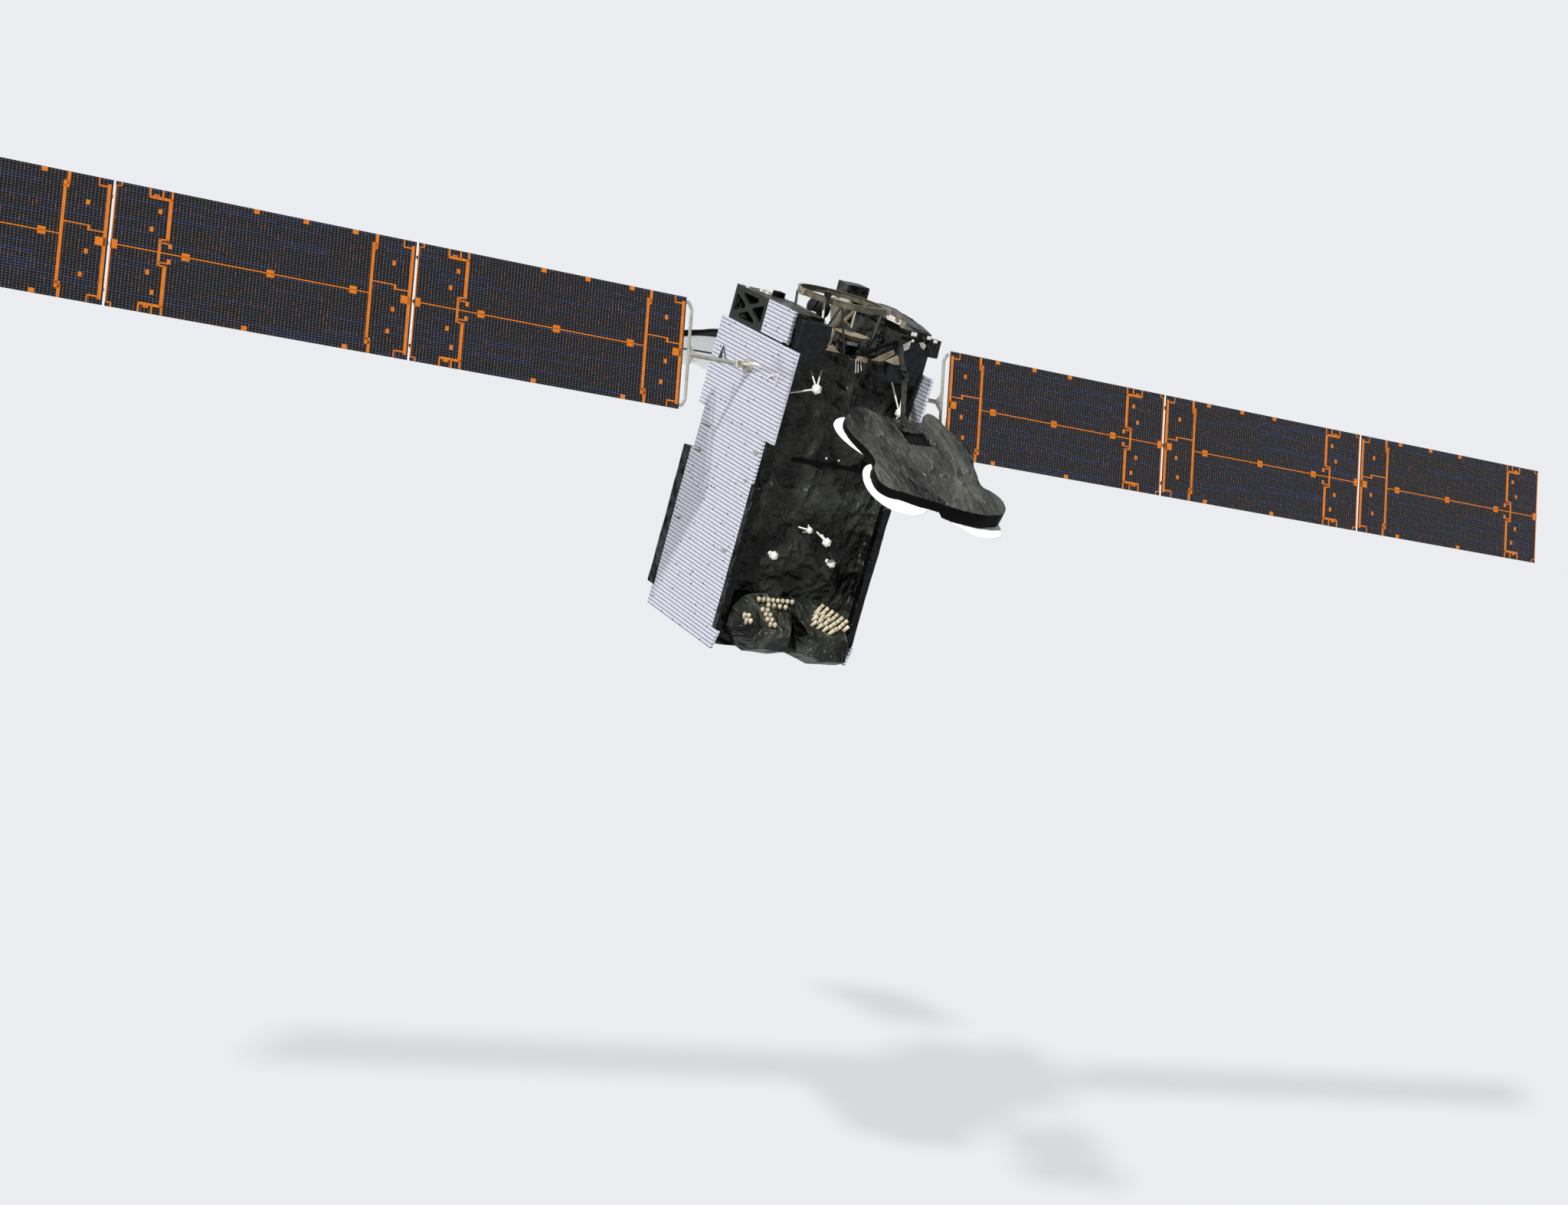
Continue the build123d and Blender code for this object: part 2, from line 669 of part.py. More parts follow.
def outrigger(root):
    """Fixed outrigger with the clevis and pin for the arm, from its root on the body."""
    axis = (PIVOT_X, PIVOT_Y, PIVOT_Z)
    ear_in = TONGUE_W / 2 + EAR_PLAY
    ear_out = ear_in + EAR_W
    back = (Vector(*root) - Vector(*axis)).normalized()
    stop = 95
    end = (axis[0] + back.X * stop, axis[1] + back.Y * stop, axis[2] + back.Z * stop)
    deep = Vector(*root) + back * OUTRIGGER_R
    out = rod(tuple(deep), end, OUTRIGGER_R)
    bridge = Pos(*axis) * Rot(0, -math.degrees(math.atan2(back.Z, back.X)), 0)
    out += bridge * Pos(stop, 0, 0) * Box(60, 2 * ear_out, 2 * PIVOT_R)
    for side in (-1, 1):
        y = side * (ear_in + EAR_W / 2)
        out += bridge * Pos(stop / 2, y, 0) * Box(stop, EAR_W, 2 * PIVOT_R)
        out += bridge * Pos(0, y, 0) * Rot(90, 0, 0) * Cylinder(PIVOT_R, EAR_W)
    out += Pos(*axis) * Rot(90, 0, 0) * Cylinder(PIVOT_PIN_R, 2 * ear_out)
    x, y, z = root
    reach = 3 * OUTRIGGER_R
    return out - block(x - reach, x, y - reach, y + reach, z - reach, z + reach)


# Hold-downs: columns are the ball's y and z, its height off the face and its radius, then
# the feet's y and z
TRIPODS = (
    (-616, 14, 100, 52, ((-935, -108), (-705, 236), (-500, 236))),
    (754, -81, 100, 52, ((502, 400), (785, 405), (880, -260))),
    (-125, -1868, 69, 40, ((-230, -1862), (-60, -1800), (-90, -1950))),
    (301, -2004, 69, 44, ((75, -1893), (360, -1930), (330, -2090))),
)
TRIPOD_BAR_R = 13
# Posts: columns are y and z
POSTS = ((-521, -2315), (362, -2316))
POST_R = 34
POST_H = 44


def hold_downs(upper_x, lower_x):
    """White tripods with ball heads, and posts, on a face that steps out at the waist."""
    out = []
    for y, z, height, r, feet in TRIPODS:
        face = upper_x if z > WAIST_Z else lower_x
        ball = (face + height, y, z)
        stand = Pos(*ball) * Sphere(r)
        for foot_y, foot_z in feet:
            stand += rod((face - 40, foot_y, foot_z), ball, TRIPOD_BAR_R)
        out.append(stand - block(face - 200, face, y - 600, y + 600, z - 600, z + 600))
    for y, z in POSTS:
        out.append(rod((lower_x, y, z), (lower_x + POST_H, y, z), POST_R))
    return out


# Feeds: outline of the south box as (y, z), seen from the east
FEED_OUTLINE = (
    (-950, -3380),
    (-700, -3620),
    (-240, -3640),
    (-10, -3560),
    (-10, -2960),
    (-160, -2900),
    (-760, -2880),
    (-900, -3020),
)
FEED_SLOPE = 330
# Horn rows: columns are distance off the face, first y, last y and rough pitch
SOUTH_ROWS = (
    (60, -700, -130, 81),
    (130, -640, -300, 85),
    (210, -600, -420, 60),
    (290, -560, -400, 53),
    (250, -860, -780, 80),
)
NORTH_ROWS = (
    (80, 260, 760, 83),
    (150, 240, 700, 77),
    (230, 240, 560, 80),
    (310, 300, 520, 73),
    (240, 70, 140, 70),
)


def feed_box(x0):
    """South feed box: a faceted blanket box with a slope where its horns stand."""
    face = make_face(Plane.YZ.offset(x0) * Polyline(*FEED_OUTLINE, close=True))
    box = extrude(face, amount=FEED_DEPTH, taper=FEED_TAPER)
    x1 = x0 + FEED_DEPTH
    slope = [(x0 + 60, FEED_TOP_Z), (x1, FEED_TOP_Z), (x1, FEED_TOP_Z - FEED_SLOPE)]
    return box - plate_xz(slope, -LOWER_Y, LOWER_Y)


def slope_z(off):
    """Height of the feed boxes' sloping top at a distance off the face."""
    return FEED_TOP_Z - max(0, off - 60) * FEED_SLOPE / (FEED_DEPTH - 60)


def horns(x0, rows, lean_x, lean_y):
    """Tapered feed horns, wide end out, rooted on the slope."""
    out = []
    cone = Cone(HORN_TIP_R, HORN_R, HORN_L, align=(Align.CENTER, Align.CENTER, Align.MIN))
    for off, y0, y1, pitch in rows:
        steps = round((y1 - y0) / pitch)
        for i in range(steps + 1):
            y = y0 + (y1 - y0) * i / steps
            z = slope_z(off) - HORN_SINK
            out.append(Pos(x0 + off, y, z) * Rot(lean_x, lean_y, 0) * cone)
    return out


def feeds(x0):
    """Two feed boxes and their horns, in east coordinates."""
    south = feed_box(x0)
    both = [south, north(south)]
    cones = [h - south for h in horns(x0, SOUTH_ROWS, 0, 6)]
    cones += [h - both[1] for h in horns(x0, NORTH_ROWS, -22, 26)]
    return both, cones


def main():
    os.makedirs("parts", exist_ok=True)
    save("bus_core", bus_core())
    upper = radiator_upper()
    lower = radiator_lower()
    save("radiator_south_upper", upper)
    save("radiator_north_upper", north(upper))
    save("radiator_south_lower", lower)
    save("radiator_north_lower", north(lower))
    save("cheeks", *cheeks())
    save("lower_blankets", blanket(EAST_X), west(blanket(-LOWER_WEST_X)))
    module = attic()
    frame = attic_frame()
    mirror_panel = attic_mirror()
    end = apron()
    save("module_south", module)
    save("module_north", north(module))
    save("brace_frames", frame, north(frame))
    save("mirror_panels", mirror_panel, north(mirror_panel))
    save("aprons", end, north(end))
    save("hood", hood())
    save("hood_rail", rail())
    save("launch_ring", launch_ring())
    save("ring_struts", *ring_struts())
    save("apogee_engine", apogee_engine())
    save("heat_shield", heat_shield())
    save("tank", tank())
    save("deck_box", deck_box())

    back = reflector_back()
    dishes = reflector_dishes()
    arm = reflector_arm()
    # Columns: side, how it is turned, its faces above and below the waist, outrigger root
    sides = (
        ("east", Location(), EAST_X, EAST_X, EAST_ROOT),
        ("west", Rot(0, 0, 180), EAST_X, -LOWER_WEST_X, WEST_ROOT),
    )
    for side, turn, upper_x, lower_x, root in sides:
        lower_x += BLANKET_T
        boxes, cones = feeds(lower_x)
        stands = [turn * s - end - north(end) for s in hold_downs(upper_x, lower_x)]
        save(f"hold_downs_{side}", *stands)
        save(f"feed_boxes_{side}", *[turn * s for s in boxes])
        save(f"horns_{side}", *[turn * s for s in cones])
        save(f"outrigger_{side}", turn * outrigger(root))
        place = turn * REFLECTOR_FRAME
        save(f"reflector_back_{side}", place * back)
        save(f"reflector_dishes_{side}", *[place * d for d in dishes])
        save(f"reflector_arm_{side}", turn * arm)

    for side, place in WING_FRAMES.items():
        save(f"drive_housing_{side}", place * drive_housing())
        save(f"drive_shaft_{side}", place * drive_shaft())
        save(f"yoke_{side}", place * yoke())
        save(f"yoke_bracket_{side}", place * yoke_bracket())
        for i in range(PANEL_COUNT):
            save(f"panel_{side}_{i + 1}", place * panel(i))


main()
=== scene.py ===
import json
import math

import bmesh
import bpy
from bpy.props import FloatProperty, FloatVectorProperty, PointerProperty
from mathutils import Matrix, Vector, noise

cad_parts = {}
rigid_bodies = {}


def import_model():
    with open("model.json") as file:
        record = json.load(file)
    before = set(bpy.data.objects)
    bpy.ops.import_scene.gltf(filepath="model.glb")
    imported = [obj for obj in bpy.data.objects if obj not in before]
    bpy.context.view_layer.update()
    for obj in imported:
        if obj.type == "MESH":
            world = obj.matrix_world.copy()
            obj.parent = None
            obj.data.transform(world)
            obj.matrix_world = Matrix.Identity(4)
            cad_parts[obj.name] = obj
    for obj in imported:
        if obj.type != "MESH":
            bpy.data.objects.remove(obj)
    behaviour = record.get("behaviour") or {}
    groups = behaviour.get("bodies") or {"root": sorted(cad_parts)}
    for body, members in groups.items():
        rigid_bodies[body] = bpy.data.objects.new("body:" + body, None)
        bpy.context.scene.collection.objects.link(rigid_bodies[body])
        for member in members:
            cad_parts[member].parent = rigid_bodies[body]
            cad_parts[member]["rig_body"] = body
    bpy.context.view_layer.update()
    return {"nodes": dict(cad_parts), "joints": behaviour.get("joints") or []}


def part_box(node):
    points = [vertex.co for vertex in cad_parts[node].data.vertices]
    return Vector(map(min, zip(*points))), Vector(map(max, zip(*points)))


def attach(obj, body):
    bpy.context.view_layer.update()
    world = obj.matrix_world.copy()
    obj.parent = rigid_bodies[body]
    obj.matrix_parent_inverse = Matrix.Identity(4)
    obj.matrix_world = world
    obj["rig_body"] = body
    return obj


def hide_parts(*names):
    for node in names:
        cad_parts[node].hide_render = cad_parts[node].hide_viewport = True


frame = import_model()

bl_info = {
    "name": "Communications Satellite Dressing",
    "version": (1, 0, 0),
    "blender": (4, 5, 0),
    "location": "View3D > Sidebar > Satellite",
    "description": "Finishes and small fittings of a deployed communications satellite",
    "category": "Object",
}

# Places are written in millimetres from the point where the wing axis crosses the body's
# centre line: x east, y north, z towards the launch ring.
JOINTS = {joint["name"]: joint for joint in frame["joints"]}
AXIS_Z = JOINTS["drive_north"]["pos_m"][2]
FOLD_AXIS = Vector(JOINTS["yoke_fold_south"]["axis"])
TILT = math.atan2(-FOLD_AXIS.x, FOLD_AXIS.z)
CELL_NORMAL = Vector((math.cos(TILT), 0, math.sin(TILT)))
CELL_UP = Vector((-math.sin(TILT), 0, math.cos(TILT)))
SIDES = (("south", -1), ("north", 1))
FACES = ("east", "west")
PANELS = (1, 2, 3)
# Edges sharper than this are bevelled, and points nearer than this, in metres, are merged
SHARP_EDGE = math.radians(40)
MERGE_DIST = 0.0002


def mm(*values):
    """Millimetres to metres."""
    return tuple(v / 1000 for v in values)


def at(x, y, z):
    """A place on the body, from the wing axis."""
    return Vector((x / 1000, y / 1000, z / 1000 + AXIS_Z))


def on_wing(side, u, v, n):
    """A place on a wing: u outward, v up across the cells, n out of the cell side."""
    place = CELL_UP * (v / 1000) + CELL_NORMAL * (n / 1000)
    return place + Vector((0, side * u / 1000, AXIS_Z))


def linear(code):
    """An sRGB hex colour as linear RGB."""
    values = [int(code[i:i + 2], 16) / 255 for i in (1, 3, 5)]
    return tuple(v / 12.92 if v <= 0.04045 else ((v + 0.055) / 1.055) ** 2.4 for v in values)


# Building meshes
def add_box(bm, centre, size, turn=None):
    """Add a box: centre in metres, size in millimetres, turn as a matrix."""
    shape = Matrix.Diagonal((*mm(*size), 1))
    turn = Matrix() if turn is None else turn.to_4x4()
    bmesh.ops.create_cube(bm, size=1, matrix=Matrix.Translation(centre) @ turn @ shape)


def add_rod(bm, p, q, r, r2=None, sides=8):
    """Add a round bar from p to q, in metres, with radii in millimetres."""
    run = q - p
    turn = run.to_track_quat("Z", "Y").to_matrix().to_4x4()
    place = Matrix.Translation((p + q) / 2) @ turn
    r2 = r if r2 is None else r2
    bmesh.ops.create_cone(
        bm, cap_ends=True, segments=sides, radius1=r / 1000, radius2=r2 / 1000,
        depth=run.length, matrix=place,
    )


def add_plate(bm, corners, along):
    """Add a plate: its corners in metres, and the vector that gives its thickness."""
    face = bm.faces.new([bm.verts.new(c) for c in corners])
    grown = bmesh.ops.extrude_face_region(bm, geom=[face], use_keep_orig=True)
    moved = [e for e in grown["geom"] if isinstance(e, bmesh.types.BMVert)]
    bmesh.ops.translate(bm, verts=moved, vec=along)


def bevel_all(bm, width):
    """Break every sharp edge by a width in millimetres."""
    sharp = [e for e in bm.edges if e.is_manifold and e.calc_face_angle(0) > SHARP_EDGE]
    bmesh.ops.bevel(
        bm, geom=sharp, offset=width / 1000, offset_type="OFFSET", affect="EDGES",
        segments=1, profile=0.5, material=-1, clamp_overlap=True,
    )


def finish_piece(name, bm, material, body, smooth=False):
    """Turn a bmesh into a piece that rides on a body."""
    bmesh.ops.recalc_face_normals(bm, faces=bm.faces[:])
    mesh = bpy.data.meshes.new(name)
    bm.to_mesh(mesh)
    bm.free()
    return place_piece(name, mesh, material, body, smooth)


def place_piece(name, mesh, material, body, smooth):
    """Put a mesh in the scene as a piece that rides on a body."""
    mesh.polygons.foreach_set("use_smooth", [smooth] * len(mesh.polygons))
    piece = bpy.data.objects.new(name, mesh)
    bpy.context.scene.collection.objects.link(piece)
    mesh.materials.clear()
    mesh.materials.append(material)
    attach(piece, body)
    return piece


# Materials
def add(tree, kind, links=None, **settings):
    """Add one shader node: settings are its properties, links its inputs."""
    made = tree.nodes.new("ShaderNode" + kind)
    for key, value in settings.items():
        setattr(made, key, value)
    for key, value in (links or {}).items():
        if isinstance(value, bpy.types.NodeSocket):
            tree.links.new(value, made.inputs[key])
        else:
            made.inputs[key].default_value = value
    return made


def base_material(name, colour, roughness, metallic=0.0, specular=0.5):
    """A principled material, with its tree, shader and object coordinates."""
    material = bpy.data.materials.new(name)
    material.use_nodes = True
    tree = material.node_tree
    shader = tree.nodes["Principled BSDF"]
    shader.inputs["Base Color"].default_value = (*colour, 1)
    shader.inputs["Roughness"].default_value = roughness
    shader.inputs["Metallic"].default_value = metallic
    shader.inputs["Specular IOR Level"].default_value = specular
    where = add(tree, "TexCoord").outputs["Object"]
    return material, tree, shader, where


def bump(tree, shader, height, distance):
    """Raise a surface by a height pattern, its depth in metres."""
    made = add(tree, "Bump", {"Strength": 1.0, "Distance": distance, "Height": height})
    tree.links.new(made.outputs["Normal"], shader.inputs["Normal"])


def ramp(tree, value, stops):
    """A colour ramp between two stops, each a place and a linear colour."""
    made = add(tree, "ValToRGB", {"Fac": value})
    for i, (place, colour) in enumerate(stops):
        stop = made.color_ramp.elements[i]
        stop.position = place
        stop.color = (*colour, 1)
    return made.outputs["Color"]


def turn_to_x(along):
    """The turn that lays a direction on the x axis."""
    return Vector(along).rotation_difference(Vector((1, 0, 0)))


# Film blankets: scales are patterns per metre, so that one sag is about 420 mm across and one
# fine wrinkle about 70 mm
FILM_ROUGHNESS = 0.34
FILM_SPECULAR = 0.14
BEND_SCALE = 1.2
BEND_REACH = 0.35
SAG_SCALE = 2.4
FACET_SCALE = 4.5
FOLD_SCALE = 3.6
FOLD_DETAIL = 2.5
WRINKLE_SCALE = 15.0
# How much each pattern counts in the relief
FACET_SHARE = 0.3
RIDGE_SHARE = -1.3
WRINKLE_SHARE = 0.05
# Painted highlights on the creases: how fast they fade from a ridge, and their strength on it
PAINTED_HIGHLIGHT_FADE = -7.0
PAINTED_HIGHLIGHT_TOP = 0.22
# Painted light patches: the sag at which they start, and how fast they grow
PAINTED_PATCH_START = 0.36
PAINTED_PATCH_GAIN = 1.3


def blanket_material(name, dark, crease, along, stretch, relief=0.16):
    """Multilayer insulation: black film in soft sags and long folds, with olive highlights
    painted on its creases and sags.
    """
    material, tree, shader, where = base_material(
        name, dark, FILM_ROUGHNESS, specular=FILM_SPECULAR
    )
    turned = add(
        tree, "Mapping",
        {"Vector": where, "Rotation": turn_to_x(along).to_euler(), "Scale": (stretch, 1, 1)},
    ).outputs["Vector"]
    bend = add(tree, "TexNoise", {"Vector": turned, "Scale": BEND_SCALE, "Detail": 1.0})
    shift = add(
        tree, "VectorMath", {0: bend.outputs["Color"], "Scale": BEND_REACH}, operation="SCALE"
    ).outputs[0]
    warped = add(tree, "VectorMath", {0: turned, 1: shift}, operation="ADD").outputs[0]
    sag = add(
        tree, "TexNoise", {"Vector": warped, "Scale": SAG_SCALE, "Detail": 1.0}
    ).outputs["Fac"]
    facets = add(
        tree, "TexVoronoi", {"Vector": warped, "Scale": FACET_SCALE}, feature="F1",
        distance="MANHATTAN",
    )
    fine = add(
        tree, "TexNoise", {"Vector": warped, "Scale": WRINKLE_SCALE, "Detail": 1.0}
    ).outputs["Fac"]
    folds = add(
        tree, "TexNoise", {"Vector": warped, "Scale": FOLD_SCALE, "Detail": FOLD_DETAIL}
    )
    ridge = add(tree, "Math", {0: folds.outputs["Fac"], 1: 0.5}, operation="SUBTRACT").outputs[0]
    ridge = add(tree, "Math", {0: ridge}, operation="ABSOLUTE").outputs[0]
    height = add(
        tree, "Math", {0: facets.outputs["Distance"], 1: FACET_SHARE, 2: sag},
        operation="MULTIPLY_ADD",
    ).outputs[0]
    for pattern, share in ((ridge, RIDGE_SHARE), (fine, WRINKLE_SHARE)):
        height = add(
            tree, "Math", {0: pattern, 1: share, 2: height}, operation="MULTIPLY_ADD"
        ).outputs[0]
    bump(tree, shader, height, relief)
    # Painted highlights: the sheet is lighter in soft patches and along thin creases, as if lit
    # by the key lamp.
    lit = add(
        tree, "Math", {0: ridge, 1: PAINTED_HIGHLIGHT_FADE, 2: PAINTED_HIGHLIGHT_TOP}, operation="MULTIPLY_ADD"
    ).outputs[0]
    lit = add(tree, "Math", {0: lit, 1: 0.0}, operation="MAXIMUM").outputs[0]
    painted_patch = add(tree, "Math", {0: sag, 1: PAINTED_PATCH_START}, operation="SUBTRACT").outputs[0]
    painted_patch = add(tree, "Math", {0: painted_patch, 1: 0.0}, operation="MAXIMUM").outputs[0]
    mixed = add(
        tree, "Math", {0: painted_patch, 1: PAINTED_PATCH_GAIN, 2: lit}, operation="MULTIPLY_ADD"
    ).outputs[0]
    colour = ramp(tree, mixed, ((0.0, dark), (1.0, crease)))
    tree.links.new(colour, shader.inputs["Base Color"])
    return material


# Mirror tiles: widths are shares of one tile, and tones go from 0, the tile, to 1, the joint
TILE_ROUGHNESS = 0.16
TILE_METALLIC = 0.55
ROW_WIDTH = 0.26
JOINT_WIDTH = 0.12
JOINT_TONE = 0.14
DOT_WIDTH = 0.5
DOT_TONE = 0.45
ROW_TONE = 0.5
CHIP_WIDTH = 0.62
CHIP_HEIGHT = 0.5
CHIP_FROM = 0.975
TILE_SPREAD = 0.1
JOINT_ROUGHER = 0.4


def tile_material(name, colour, line, pitch_x, pitch_z):
    """Mirror tiles: silvered glass in rows, with dark joints and a few black chips."""
    # The base colour's lilac tint is a painted reflection of the surroundings.
    material, tree, shader, where = base_material(
        name, colour, TILE_ROUGHNESS, metallic=TILE_METALLIC
    )
    scaled = add(
        tree, "VectorMath", {0: where, 1: (1000 / pitch_x, 0, 1000 / pitch_z)},
        operation="MULTIPLY",
    ).outputs[0]
    cell = add(tree, "VectorMath", {0: scaled}, operation="FLOOR").outputs[0]
    inside = add(tree, "VectorMath", {0: scaled}, operation="FRACTION").outputs[0]
    part = add(tree, "SeparateXYZ", {0: inside})
    row, joint, dot, corner, low = (
        add(tree, "Math", {0: part.outputs[axis], 1: width}, operation="LESS_THAN").outputs[0]
        for axis, width in (
            ("Z", ROW_WIDTH), ("X", JOINT_WIDTH), ("X", DOT_WIDTH), ("X", CHIP_WIDTH),
            ("Z", CHIP_HEIGHT),
        )
    )
    dot = add(
        tree, "Math", {0: dot, 1: DOT_TONE, 2: ROW_TONE}, operation="MULTIPLY_ADD"
    ).outputs[0]
    chance = add(tree, "TexWhiteNoise", {"Vector": cell}, noise_dimensions="3D")
    chip = add(
        tree, "Math", {0: chance.outputs["Value"], 1: CHIP_FROM}, operation="GREATER_THAN"
    ).outputs[0]
    spot = add(tree, "Math", {0: corner, 1: low}, operation="MULTIPLY").outputs[0]
    spot = add(tree, "Math", {0: spot, 1: chip}, operation="MULTIPLY").outputs[0]
    weak = add(tree, "Math", {0: joint, 1: JOINT_TONE}, operation="MULTIPLY").outputs[0]
    strong = add(tree, "Math", {0: row, 1: dot}, operation="MULTIPLY").outputs[0]
    mask = add(tree, "Math", {0: weak, 1: strong}, operation="MAXIMUM").outputs[0]
    mask = add(tree, "Math", {0: mask, 1: spot}, operation="MAXIMUM").outputs[0]
    shade = add(
        tree, "Math", {0: chance.outputs["Value"], 1: TILE_SPREAD}, operation="MULTIPLY"
    ).outputs[0]
    tile = add(
        tree, "MixRGB", {"Fac": shade, "Color1": (*colour, 1), "Color2": (*line, 1)}
    ).outputs["Color"]
    final = add(
        tree, "MixRGB", {"Fac": mask, "Color1": tile, "Color2": (*line, 1)}
    ).outputs["Color"]
    tree.links.new(final, shader.inputs["Base Color"])
    rough = add(
        tree, "Math", {0: mask, 1: JOINT_ROUGHER, 2: TILE_ROUGHNESS}, operation="MULTIPLY_ADD"
    ).outputs[0]
    tree.links.new(rough, shader.inputs["Roughness"])
    return material


# Paint: blotches per metre, and where on their scale the coat and the stain lie
BLOTCH_SCALE = 11.0
BLOTCH_RANGE = (0.35, 0.75)


def paint_material(
    name, colour, stain, roughness, metallic=0.0, grain=60.0, depth=0.0006, specular=0.5
):
    """Painted or treated metal: a matt coat with faint blotches and a fine grain."""
    material, tree, shader, where = base_material(name, colour, roughness, metallic, specular)
    blotch = add(tree, "TexNoise", {"Vector": where, "Scale": BLOTCH_SCALE, "Detail": 5.0})
    tint = ramp(tree, blotch.outputs["Fac"], tuple(zip(BLOTCH_RANGE, (colour, stain))))
    tree.links.new(tint, shader.inputs["Base Color"])
    fine = add(tree, "TexNoise", {"Vector": where, "Scale": grain, "Detail": 3.0})
    bump(tree, shader, fine.outputs["Fac"], depth)
    return material


# Solar cells: where a panel's skin starts, in metres from its middle plane, and line widths
# as shares of one cell
PANEL_SKIN_N = 0.0118
LINE_ACROSS = 0.16
LINE_ALONG = 0.18
FAINT_SPREAD = 0.3
FAINT_LEAST = 0.08
ALONG_TONE = 0.18
RUST_FROM = 0.93
RUST_TONE = 0.35
WIRE_CELLS = 16
WIRE_FROM = 0.82
WIRE_WIDTH = 0.3
WIRE_TONE = 0.5
PANEL_EDGE = "#e6e4de"
PANEL_BACK = "#1b1b1d"


def cell_material(settings):
    """Solar panel: cells in a fine grid on the front, dark carbon behind, white edges."""
    dark = tuple(settings.cell)
    material, tree, shader, where = base_material("SolarCells", dark, 0.4, specular=0.2)
    shift = add(
        tree, "VectorMath", {0: where, 1: (0, 0, -AXIS_Z)}, operation="ADD"
    ).outputs[0]
    local = add(
        tree, "Mapping", {"Vector": shift, "Rotation": (0, TILT, 0)}, vector_type="POINT"
    ).outputs["Vector"]
    parts = add(tree, "SeparateXYZ", {0: local})
    scaled = add(
        tree, "VectorMath",
        {0: local, 1: (0, 1000 / settings.cell_u, 1000 / settings.cell_v)},
        operation="MULTIPLY",
    ).outputs[0]
    cell = add(tree, "VectorMath", {0: scaled}, operation="FLOOR").outputs[0]
    inside = add(tree, "VectorMath", {0: scaled}, operation="FRACTION").outputs[0]
    spot = add(tree, "SeparateXYZ", {0: inside})
    across = add(tree, "Math", {0: spot.outputs["Y"], 1: LINE_ACROSS}, operation="LESS_THAN")
    across = across.outputs[0]
    along = add(tree, "Math", {0: spot.outputs["Z"], 1: LINE_ALONG}, operation="LESS_THAN")
    along = along.outputs[0]
    cross = add(tree, "Math", {0: across, 1: along}, operation="MULTIPLY").outputs[0]
    chance = add(tree, "TexWhiteNoise", {"Vector": cell}, noise_dimensions="3D")
    luck = add(tree, "SeparateXYZ", {0: chance.outputs["Color"]})
    faint = add(
        tree, "Math", {0: luck.outputs["X"], 1: FAINT_SPREAD, 2: FAINT_LEAST},
        operation="MULTIPLY_ADD",
    )
    line_a = add(tree, "Math", {0: across, 1: faint.outputs[0]}, operation="MULTIPLY").outputs[0]
    line_b = add(tree, "Math", {0: along, 1: ALONG_TONE}, operation="MULTIPLY").outputs[0]
    grid = add(tree, "Math", {0: line_a, 1: line_b}, operation="MAXIMUM").outputs[0]
    grid = add(tree, "Math", {0: grid, 1: cross}, operation="MAXIMUM").outputs[0]
    base = add(
        tree, "MixRGB",
        {"Fac": grid, "Color1": (*dark, 1), "Color2": (*settings.grid, 1)},
    ).outputs["Color"]
    rust = add(
        tree, "Math", {0: luck.outputs["Y"], 1: RUST_FROM}, operation="GREATER_THAN"
    ).outputs[0]
    for share in (across, RUST_TONE):
        rust = add(tree, "Math", {0: rust, 1: share}, operation="MULTIPLY").outputs[0]
    base = add(
        tree, "MixRGB", {"Fac": rust, "Color1": base, "Color2": (*settings.strip, 1)}
    ).outputs["Color"]
    # Wiring runs show as blue lines along some rows of cells.
    rows = add(
        tree, "VectorMath", {0: cell, 1: (0, 1 / WIRE_CELLS, 1)}, operation="MULTIPLY"
    ).outputs[0]
    rows = add(tree, "VectorMath", {0: rows}, operation="FLOOR").outputs[0]
    wire = add(tree, "TexWhiteNoise", {"Vector": rows}, noise_dimensions="3D").outputs["Value"]
    wire = add(tree, "Math", {0: wire, 1: WIRE_FROM}, operation="GREATER_THAN").outputs[0]
    thick = add(tree, "Math", {0: spot.outputs["Z"], 1: WIRE_WIDTH}, operation="LESS_THAN")
    for share in (thick.outputs[0], WIRE_TONE):
        wire = add(tree, "Math", {0: wire, 1: share}, operation="MULTIPLY").outputs[0]
    front = add(
        tree, "MixRGB", {"Fac": wire, "Color1": base, "Color2": (*settings.wire, 1)}
    ).outputs["Color"]
    is_front = add(
        tree, "Math", {0: parts.outputs["X"], 1: PANEL_SKIN_N}, operation="GREATER_THAN"
    ).outputs[0]
    is_back = add(
        tree, "Math", {0: parts.outputs["X"], 1: -PANEL_SKIN_N}, operation="LESS_THAN"
    ).outputs[0]
    edge = (*linear(PANEL_EDGE), 1)
    shell = add(tree, "MixRGB", {"Fac": is_front, "Color1": edge, "Color2": front})
    shell = add(
        tree, "MixRGB",
        {"Fac": is_back, "Color1": shell.outputs["Color"], "Color2": (*linear(PANEL_BACK), 1)},
    )
    tree.links.new(shell.outputs["Color"], shader.inputs["Base Color"])
    return material


FLOOR_ROUGHNESS = 0.9
FLOOR_GLOW_SHARE = 0.8


